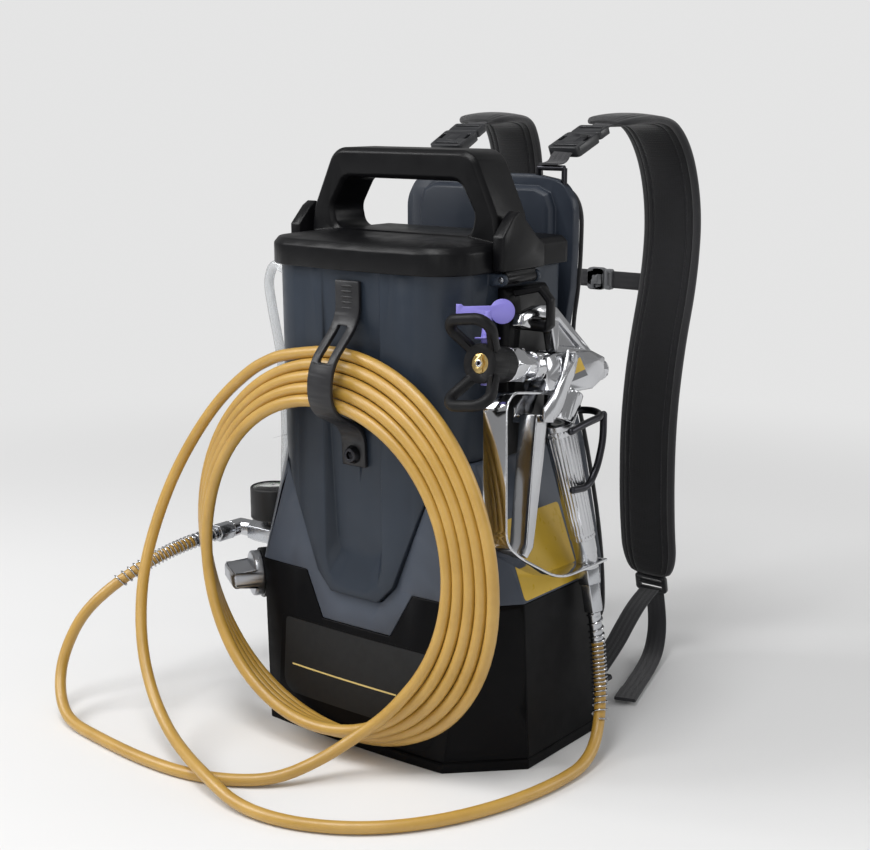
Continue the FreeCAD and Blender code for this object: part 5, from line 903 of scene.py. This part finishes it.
def crimp_sleeve(line):
    # the steel sleeve pressed on the hose's end, with its ring grooves
    frames = level_frames(stretch_of(line, FINE_STEP, 0.0, CRIMP_LENGTH))
    rings = []
    for i, (point, side, up) in enumerate(frames):
        radius = CRIMP_RADIUS + CRIMP_GROOVE * math.cos(i * 2 * math.pi / CRIMP_GROOVE_STEPS)
        rings.append(ring_about(point, side, up, radius if 0 < i < len(frames) - 1 else CRIMP_END_RADIUS, 32))
    return ring_sweep("crimp_sleeve", rings)


def make_hose():
    route = hose_route()
    curve = curve_through("paint_hose", route, 7)
    curve.bevel_depth = HOSE_DIAMETER / 2
    curve.bevel_resolution = 6
    curve.use_fill_caps = True
    curve.splines[0].use_smooth = True
    curve.materials.append(FINISHES["hose_amber"])
    hose = linked("paint_hose", curve)
    line = smooth_line(route)
    back = line[::-1]
    group = spring_group()
    coils = [bend_spring(line, 0.128, 22.0, -0.05, group), bend_spring(back, 0.112, 20.0, -0.075, group)]
    springs = show("bend_springs", coils, "spring_steel", "housing", "zinc_steel")
    sleeves = show("crimp_sleeves", [crimp_sleeve(line), crimp_sleeve(back)], "zinc_steel", "housing",
                   "zinc_steel")
    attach(hose, "housing")
    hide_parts("hose_lead", "hose_coil", "hose_tail")
    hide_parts("hose_springs")


# The harness: shoulder pads, back cushion, straps and buckles

def map_in_metres(mesh, across, along):
    # the strap's own map: across it and along it, in metres
    layer = mesh.uv_layers.new(name="strap_map")
    for loop in mesh.loops:
        row, column = divmod(loop.vertex_index, len(across))
        layer.data[loop.index].uv = (across[column], along[row])


def ribbon(line, width=WEB_WIDTH, across=AXIS_X, lift=0.0):
    # a flat woven strap along a line
    half, low = width / 2, WEB_THICK / 2
    under = [(-half, -low * 0.4), (WEB_BEVEL - half, -low), (-half * 0.4, -low), (half * 0.4, -low),
             (half - WEB_BEVEL, -low), (half, -low * 0.4)]
    section = under + [(s, -u) for s, u in reversed(under)]
    rings = [[point + side * s + up * (u + lift) for s, u in section]
             for point, side, up in level_frames(line, across)]
    mesh = ring_sweep("ribbon", rings)
    map_in_metres(mesh, [s for s, _ in section], swept_lengths(line))
    return mesh


def shoulder_section():
    # across a pad: place, half thickness and whether the binding tape covers it
    crown, half = PAD_THICK / 2, PAD_WIDTH / 2
    over = []
    for mark in PAD_MARKS + [half] + PAD_MARKS[::-1]:
        place = half - mark if len(over) < len(PAD_MARKS) else mark - half
        rise = PAD_EDGE + (crown - PAD_EDGE) * (1 - (place / (half - PAD_EDGE)) ** 2)
        tuck = sum(depth * math.exp(-((mark - at) / wide) ** 2) for at, depth, wide in PAD_TUCKS)
        over.append((place, rise - tuck, mark < PAD_TAPE))
    turned = [on_circle(math.radians(a)) for a in (60, 30, 0, -30, -60)]
    right = [(half - PAD_EDGE + PAD_EDGE * c, PAD_EDGE * s, True) for c, s in turned]
    under = [(place, -rise, bound) for place, rise, bound in over]
    left = [(-place, -rise, bound) for place, rise, bound in right]
    return over + left[::-1] + under[::-1] + right[::-1]


def end_ease(distance, reach):
    share = min(1.0, distance / reach)
    return math.sqrt(max(0.0, 1 - (1 - share) ** 2))


def shoulder_pad(name, line):
    section = shoulder_section()
    run = swept_lengths(line)
    rings = []
    for (point, side, up), gone in zip(level_frames(line), run):
        left = min(gone, run[-1] - gone)
        wide = lerp(0.52, 1.0, end_ease(left, 0.042))
        thick = lerp(0.35, 1.0, end_ease(left, 0.016))
        thick *= 1 + PAD_WAVE * math.sin(gone * 2 * math.pi / PAD_WAVE_LENGTH)
        rings.append([point + side * (s * wide) + up * (u * thick) for s, u, _ in section])
    mesh = in_finish(ring_sweep(name, rings), "pad_fabric")
    mesh.materials.append(FINISHES["pad_binding"])
    map_in_metres(mesh, [s + u for s, u, _ in section], run)
    count = len(section)
    for face in mesh.polygons:
        row, column = divmod(face.index, count)
        gone = run[min(row, len(run) - 1)]
        bound = section[column][2] or section[(column + 1) % count][2]
        face.material_index = 1 if bound or min(gone, run[-1] - gone) < PAD_TAPE else 0
    return mesh


def seam_beside(line, offset, lift):
    # a seam line on the outer face of a strap or pad, beside its middle
    return [point + side * offset + up * lift for point, side, up in level_frames(line)]


def seam_box(line, start, length, half):
    # the sewn box where a strap end is folded back
    stretch = stretch_of(line, 0.002, start, length, 1)
    near, far = (seam_beside(stretch, offset, WEB_THICK * 0.55) for offset in (-half, half))
    return near + far[::-1] + [near[0], far[-1]]


def cushion_mesh():
    # the back cushion: blown up a little as cloth, then its two sewn channels pressed in
    shape = merged("back_pad")
    low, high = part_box("back_pad")
    middle = (Vector(low) + Vector(high)) / 2
    fit_x, fit_y, fit_z = CUSHION_FIT
    for vertex in shape.verts:
        place = vertex.co
        place.x = middle.x + (place.x - middle.x) * fit_x
        place.z = middle.z + (place.z - middle.z) * fit_z
        place.y = low[1] + CUSHION_STANDOFF + (place.y - low[1]) * fit_y
    mesh = modified(mesh_from(shape, "back_cushion"), REMESH={"mode": "VOXEL", "voxel_size": CUSHION_FACES})
    mesh = blown_up(mesh)
    mesh = modified(mesh, SMOOTH={"factor": 0.5, "iterations": 4}, SUBSURF={"levels": 1, "render_levels": 1})
    for vertex in mesh.vertices:
        place = vertex.co
        share = max(0.0, min(1.0, (place.y - low[1] - 0.006) / 0.012))
        for channel in CUSHION_CHANNELS:
            place.y -= CHANNEL_DEPTH * share * math.exp(-((place.z - channel) / CHANNEL_WIDTH) ** 2)
        edge = max(0.0, 1 - abs(place.y - CUSHION_PIPING_Y) / 0.004)
        place.x -= math.copysign(0.0012 * edge, place.x)
        place.y = max(place.y, low[1] + 0.0001)
    return shade(mesh, 60.0)


def blown_up(mesh):
    before = [vertex.co.copy() for vertex in mesh.vertices]
    working = linked("cushion", mesh)
    cloth = working.modifiers.new("fabric", "CLOTH")
    cloth.settings.use_pressure = True
    cloth.settings.uniform_pressure_force = CUSHION_PRESSURE
    cloth.settings.effector_weights.gravity = 0.0
    for step in range(1, CUSHION_STEPS + 1):
        scene.frame_set(step)
    result = bake(working, "back_cushion")
    scene.frame_set(1)
    for vertex, place in zip(result.vertices, before):
        moved = vertex.co - place
        if moved.length > CUSHION_CAP:
            vertex.co = place + moved.normalized() * CUSHION_CAP
    return result


def cushion_piping():
    right = [(x - PIPING_INSET, z) for x, z in CUSHION_EDGE]
    outline = [(0, 60), *right, (0, 562), *[(-x, z) for x, z in right[::-1]], (0, 60)]
    points = metres([(x, CUSHION_PIPING_Y / MM, z) for x, z in outline])
    line = evenly(smooth_line(points, 16), STRAP_STEP)[:-1]
    rings = []
    for i, point in enumerate(line):
        along = (line[(i + 1) % len(line)] - line[i - 1]).normalized()
        rings.append(ring_about(point, along.cross(AXIS_Y).normalized(), AXIS_Y, PIPING_RADIUS, PIPING_SIDES))
    mesh = ring_sweep("cushion_piping", rings, closed=True)
    around = [2 * math.pi * PIPING_RADIUS * k / PIPING_SIDES for k in range(PIPING_SIDES)]
    map_in_metres(mesh, around, swept_lengths(line))
    return mesh


def side_release_buckle(length, width, thick):
    # a socket half with side windows, a plug half with two prongs, and a slot for each strap
    slot = rounded_outline(0.0018, width / 2 - 0.0055, 0.0012)
    window = rounded_outline(0.0062, 0.0024, 0.0014)
    window_y = width / 2 - 0.0042
    socket_x = -length * 0.17
    windows = [shifted(window, socket_x + 0.004, side * window_y) for side in (1, -1)]
    prongs = [slab(length * 0.20, 0.0021, 0.0019, 0.0, side * window_y, thick * 0.5, 0.0006)
              for side in (-1, 1)]
    return joined("buckle", [
        slab(length * 0.33, width / 2, 0.0045, socket_x, 0.0, thick, 0.0009,
             [shifted(slot, -length * 0.40), *windows]),
        slab(length * 0.155, width / 2 - 0.001, 0.003, length * 0.345, 0.0, thick * 0.8, 0.0008,
             [shifted(slot, length * 0.39)]),
        *prongs,
        slab(length * 0.12, width * 0.16, 0.002, socket_x, 0.0, thick * 1.06, 0.0004)])


def ladder_lock():
    # a frame with two slots, a raised grip and the bar between the slots
    half = BUCKLE_WIDTH / 2
    slot = rounded_outline(0.0019, half - 0.0058, 0.0014)
    return joined("lock", [
        slab(LOCK_LENGTH / 2, half, 0.0045, 0.0, 0.0, LOCK_THICK * 0.62, 0.0009,
             [shifted(slot, -0.0050), shifted(slot, 0.0042)]),
        slab(0.0020, half - 0.003, 0.0016, -0.0086, 0.0, LOCK_THICK * 0.98, 0.0008),
        slab(0.0016, half - 0.005, 0.0012, -0.0006, 0.0, LOCK_THICK * 0.9, 0.0006)])


def both_sides(mesh):
    return [mesh, flipped(mesh)]


def make_pads(line):
    right = shoulder_pad("right_shoulder_padding", line)
    left = flipped(right)
    left.name = "left_shoulder_padding"
    for mesh, node in ((right, "right_shoulder_pad"), (left, "left_shoulder_pad")):
        show(mesh.name, mesh, "pad_fabric", "housing", "pad_fabric", node)
    cushion = show("back_cushion", cushion_mesh(), "pad_fabric", "housing", "pad_fabric", "back_pad")
    show("cushion_piping", cushion_piping(), "pad_binding", "housing", "pad_fabric")


def make_straps(line, tail):
    top = metres(SHOULDER_LINE)[0]
    reach = (top - SHOULDER_BUCKLE).normalized() * BUCKLE_LENGTH * BUCKLE_REACH
    low_end, top_end = SHOULDER_BUCKLE - reach, SHOULDER_BUCKLE + reach
    over = SHOULDER_ANCHOR + Vector((0, 0, 0.0042))
    loop = [over + Vector((0, y, z)) for y, z in ((-0.006, 0), (0.006, 0), (0.014, 0.004))]
    upper = evenly(smooth_line([*loop, low_end.lerp(over, 0.4), low_end]), STRAP_STEP)
    short = evenly([top_end, top.lerp(line[4], 0.6)], STRAP_STEP)
    lower = evenly(smooth_line(metres(LOWER_WEB)), STRAP_STEP)
    fold = ribbon(evenly(tail[-9:], STRAP_STEP), lift=WEB_THICK)
    webbing = joined("straps", [*(ribbon(strap) for strap in (upper, short, lower, tail)), fold])
    sternum = []
    first, last = STERNUM_SPAN[0] + STERNUM_TUCK, STERNUM_SPAN[1] - STERNUM_TUCK
    for x0, x1 in ((-STERNUM_END, first), (last, STERNUM_END)):
        across = [Vector((lerp(x0, x1, k / 12), STERNUM_Y, STERNUM_Z)) for k in range(13)]
        sternum.append(ribbon(across, STERNUM_WIDTH, AXIS_Z))
    show("harness_straps", [*both_sides(webbing), *sternum], "webbing", "housing", "webbing",
         "harness_webbing")


def make_stitches(line, tail):
    group = stitch_group()
    edge = PAD_WIDTH / 2 - PAD_SEAM
    paths = [seam_beside(line[8:-8], offset, 0.0052) for offset in (-edge, edge)]
    paths.append(seam_box(tail, swept_lengths(tail)[-1] - 0.030, 0.022, 0.0085))
    seams = joined("seams", [grown(group, path, "thread", STITCHES) for path in paths])
    show("harness_stitches", both_sides(seams), "thread", "housing", "webbing")


def make_buckles():
    line = metres(SHOULDER_LINE)
    along = (line[0] - SHOULDER_BUCKLE).normalized()
    buckle = placed(side_release_buckle(BUCKLE_LENGTH, BUCKLE_WIDTH, BUCKLE_THICK), SHOULDER_BUCKLE, along,
                    AXIS_Z.cross(along))
    show("shoulder_strap_buckles", both_sides(buckle), "buckle_plastic", "housing", "buckle_plastic",
         "shoulder_buckles")
    down = (line[-1] - line[-2]).normalized()
    lock = placed(ladder_lock(), line[-1] + down * (LOCK_LENGTH / 2), down, AXIS_Z.cross(down))
    show("strap_ladder_locks", both_sides(lock), "buckle_plastic", "housing", "buckle_plastic",
         "ladder_locks")
    clasp = side_release_buckle(STERNUM_SPAN[1] - STERNUM_SPAN[0], STERNUM_WIDTH + 0.006, CLASP_THICK)
    placed(clasp, Vector((sum(STERNUM_SPAN) / 2, STERNUM_Y, STERNUM_Z)), AXIS_X, AXIS_Z)
    show("sternum_clasp", clasp, "buckle_grey", "housing", "buckle_plastic", "sternum_buckle")


def make_harness():
    line = evenly(smooth_line(metres(SHOULDER_LINE)), PAD_STEP)
    tail = evenly(smooth_line(metres(TAIL_WEB)), STRAP_STEP)
    make_pads(line)
    make_straps(line, tail)
    make_stitches(line, tail)
    make_buckles()


# Labels left bare, the gauge's face, and the small pieces

def make_labels():
    def front(x, z):
        return Vector((x, FRONT_LABEL_Y, z))

    def side(y, z):
        return Vector((SIDE_LABEL_X, y, z))

    show("front_label", [film("lower_housing", front, AXIS_Y, *row) for row in FRONT_LABEL], "label_navy",
         "housing", "housing_black")
    show("side_label", film("flare_housing", side, -AXIS_X, *SIDE_LABEL), "label_yellow", "housing",
         "flare_grey")


def gun_axes():
    turn = gun_matrix().to_3x3()
    return [turn @ axis for axis in (AXIS_X, AXIS_Y, AXIS_Z)]


def make_gun_label():
    # thin films on the gun's outer face, drawn in the gun's own Y and Z
    top_back, low_back, low_front, top_front = (Vector(p) * MM for p in GUN_LABEL)
    split_front = low_front.lerp(top_front, GUN_LABEL_SPLIT)
    split_back = low_back.lerp(top_back, GUN_LABEL_SPLIT)
    _, y, z = gun_axes()
    films = []
    for finish, corners in (("label_yellow", (split_front, split_back, top_back, top_front)),
                            ("label_grey", (low_front, low_back, split_back, split_front))):
        mesh = in_finish(plate([tuple(c) for c in corners], 0.0003), finish)
        films.append(placed(mesh, gun_matrix() @ Vector((GUN_LABEL_X, 0, 0)), y, z))
    show("gun_label", films, "label_yellow", "housing", "polished_aluminium")


def number(text, x, y):
    curve = bpy.data.curves.new("number", "FONT")
    curve.body = text
    curve.size = NUMBER_SIZE
    curve.extrude = 0.00005
    curve.align_x = "CENTER"
    curve.align_y = "CENTER"
    mesh = bake(linked("number", curve), "number")
    mesh.transform(Matrix.Translation((x, y, 0.0)))
    return mesh


def make_gauge_face():
    marks = []
    for k in range(DIAL_TICKS + 1):
        angle = DIAL_ZERO - k * DIAL_SWEEP / DIAL_TICKS
        inner = TICK_INNER if k % DIAL_LONG_TICK else TICK_LONG_INNER
        marks.append(plate(sector(inner, TICK_OUTER, angle - 0.55, angle + 0.55, 1), 0.0001))
    for k in range(4):
        place = on_circle(math.radians(DIAL_ZERO - k * DIAL_SWEEP / 3), NUMBER_RADIUS)
        marks.append(number(str(k * 10), *place))
    first, last = (DIAL_ZERO - share * DIAL_SWEEP for share in BAND_SHARES)
    band = in_finish(plate(sector(*BAND_RADII, first, last), 0.00006), "dial_green")
    face = joined("dial_marks", [in_finish(mesh, "ink") for mesh in marks] + [band])
    face.transform(Matrix.Translation(DIAL_CENTRE + Vector((0, 0, 0.0001))))
    show("dial_marks", face, "ink", "housing", "dial_white")
    lens = plate(circle(LENS_RADIUS, 64), 0.0009, (), 0.0002, "gauge_lens")
    lens.transform(Matrix.Translation(DIAL_CENTRE + Vector((0, 0, LENS_LIFT))))
    show("gauge_lens", lens, "lens", "housing", "clear_tube")


def half_round_bar(centre, along, out, length, radius):
    # a raised rib: half a round bar with round ends, lying on a face
    rings = []
    for k in range(9):
        share = -math.cos(math.pi * k / 8)
        thick = max(0.12, math.sqrt(1 - share * share)) if abs(share) > 0.9 else 1.0
        place = centre + along * (share * length / 2)
        rings.append(ring_about(place, along.cross(out), out, radius * thick, 14))
    return ring_sweep("rib", rings)


def make_keeper_ribs():
    # ribs for the thumb on the keeper's free end
    places = [RIB_LOW.lerp(RIB_HIGH, k / (RIB_COUNT - 1)) for k in range(RIB_COUNT)]
    ribs = [half_round_bar(place, AXIS_X, -AXIS_Y, RIB_LENGTH, RIB_RADIUS) for place in places]
    show("keeper_ribs", ribs, "strap_rubber", "housing", "strap_rubber")


def make_grip_sleeve():
    # the fluted sleeve on the grip, a little proud of the handle
    top, foot = (GRIP_TOP.lerp(GRIP_FOOT, share) for share in GRIP_SPAN)
    up = (foot - top).normalized().cross(AXIS_X)
    rings = []
    for share, swell in GRIP_PROFILE:
        points = []
        for i in range(FLUTES * 6):
            a = 2 * math.pi * i / (FLUTES * 6)
            cut = FLUTE_DEPTH * (0.5 - 0.5 * math.cos(a * FLUTES)) ** 2 if swell > 0.0005 else 0.0
            radius = lerp(*GRIP_RADII, share) + swell - cut
            points.append(top.lerp(foot, share) + (AXIS_X * math.cos(a) + up * math.sin(a)) * radius)
        rings.append(points)
    mesh = ring_sweep("grip_sleeve", rings)
    mesh.transform(gun_matrix())
    show("grip_sleeve", mesh, "grip_aluminium", "housing", "chrome")


def make_tip_diffuser():
    # the brass piece in front of the tip, with two wings and a steel middle
    wings = []
    for first, last in ((62, 118), (242, 298)):
        wings += sector(0.0, 0.0088, first, last, 8)[:9]
        wings += [on_circle(math.radians(last + turn), 0.0052) for turn in (12, 40, 70, 100, 112)]
    brass = in_finish(plate(wings, 0.0022, [circle(0.0022, 20)], 0.0003), "brass")
    eye = in_finish(plate(circle(0.0034, 32), 0.0030, [circle(0.0019, 20)], 0.0003), "chrome")
    x, _, z = gun_axes()
    show("tip_diffuser", [placed(mesh, gun_matrix() @ TIP_FACE, x, z) for mesh in (brass, eye)], "brass",
         "tip_guard", "brass")


def make_plate_screws():
    socket = [on_circle(math.radians(60 * k), 0.0022) for k in range(6)]
    heads = [placed(plate(circle(0.0048, 32), 0.0026, [socket], 0.0006), place, AXIS_X, AXIS_Z)
             for place in SCREW_PLACES]
    show("plate_screws", heads, "zinc_steel", "housing", "zinc_steel")


make_camera()
make_sky()
make_floor()
make_lamps()
scene.view_settings.view_transform = "Standard"
make_hose()
make_harness()
make_labels()
make_gun_label()
make_gauge_face()
make_keeper_ribs()
make_grip_sleeve()
make_tip_diffuser()
make_plate_screws()

# CAD nodes dressed as they are: node, width of its rolled edges in millimetres
DRESSED = {
    "lower_housing": 1.2, "flare_housing": 1.6, "upper_shell": 1.2, "lid": 1.2, "left_latch": 1.6,
    "right_latch": 1.6, "back_plate": 1.2, "gun_rail": 1.2, "gun_holder": 0.0, "hose_strap": 1.2,
    "strap_screw": 0.6, "outlet_union": 0.7, "outlet_elbow": 0.4, "gauge_case": 0.6, "gauge_needle": 0.0,
    "pressure_knob": 1.4, "knob_collar": 0.8, "return_tube": 0.0, "hose_end_nuts": 0.7, "gun_body": 1.4,
    "gun_rear_cap": 0.8, "tip_nut": 0.5, "tip_guard": 0.8, "tip_seat": 0.4, "gun_trigger": 0.8,
    "trigger_pin": 0.5, "trigger_lock": 0.6, "trigger_guard": 0.6, "gun_swivel": 0.7, "battery_pack": 1.0,
    "battery_button": 0.6, "power_switch": 0.8, "webbing_anchors": 0.0, "latch_pins": 0.3, "lid_seal": 0.4,
    "gauge_dial": 0.0, "spray_tip": 0.6, "gun_handle": 0.0, "gun_needle": 0.0, "gun_filter": 0.2,
    "paint_tank": 0.5, "tank_strainer": 0.2, "inlet_valve": 0.4, "pump_block": 0.8, "pump_piston": 0.4,
    "crank_gear": 0.15, "motor_pinion": 0.15, "motor": 0.6, "control_board": 0.2,
}
FINISH_OF = {
    "back_plate": "plate_dark", "gauge_case": "gauge_rubber", "tip_guard": "guard_black",
    "trigger_guard": "chrome", "gun_handle": "grip_aluminium", "outlet_elbow": "polished_aluminium",
}
for node, edge in DRESSED.items():
    skin(node, edge * MM, FINISH_OF.get(node, SLOTS[node]))
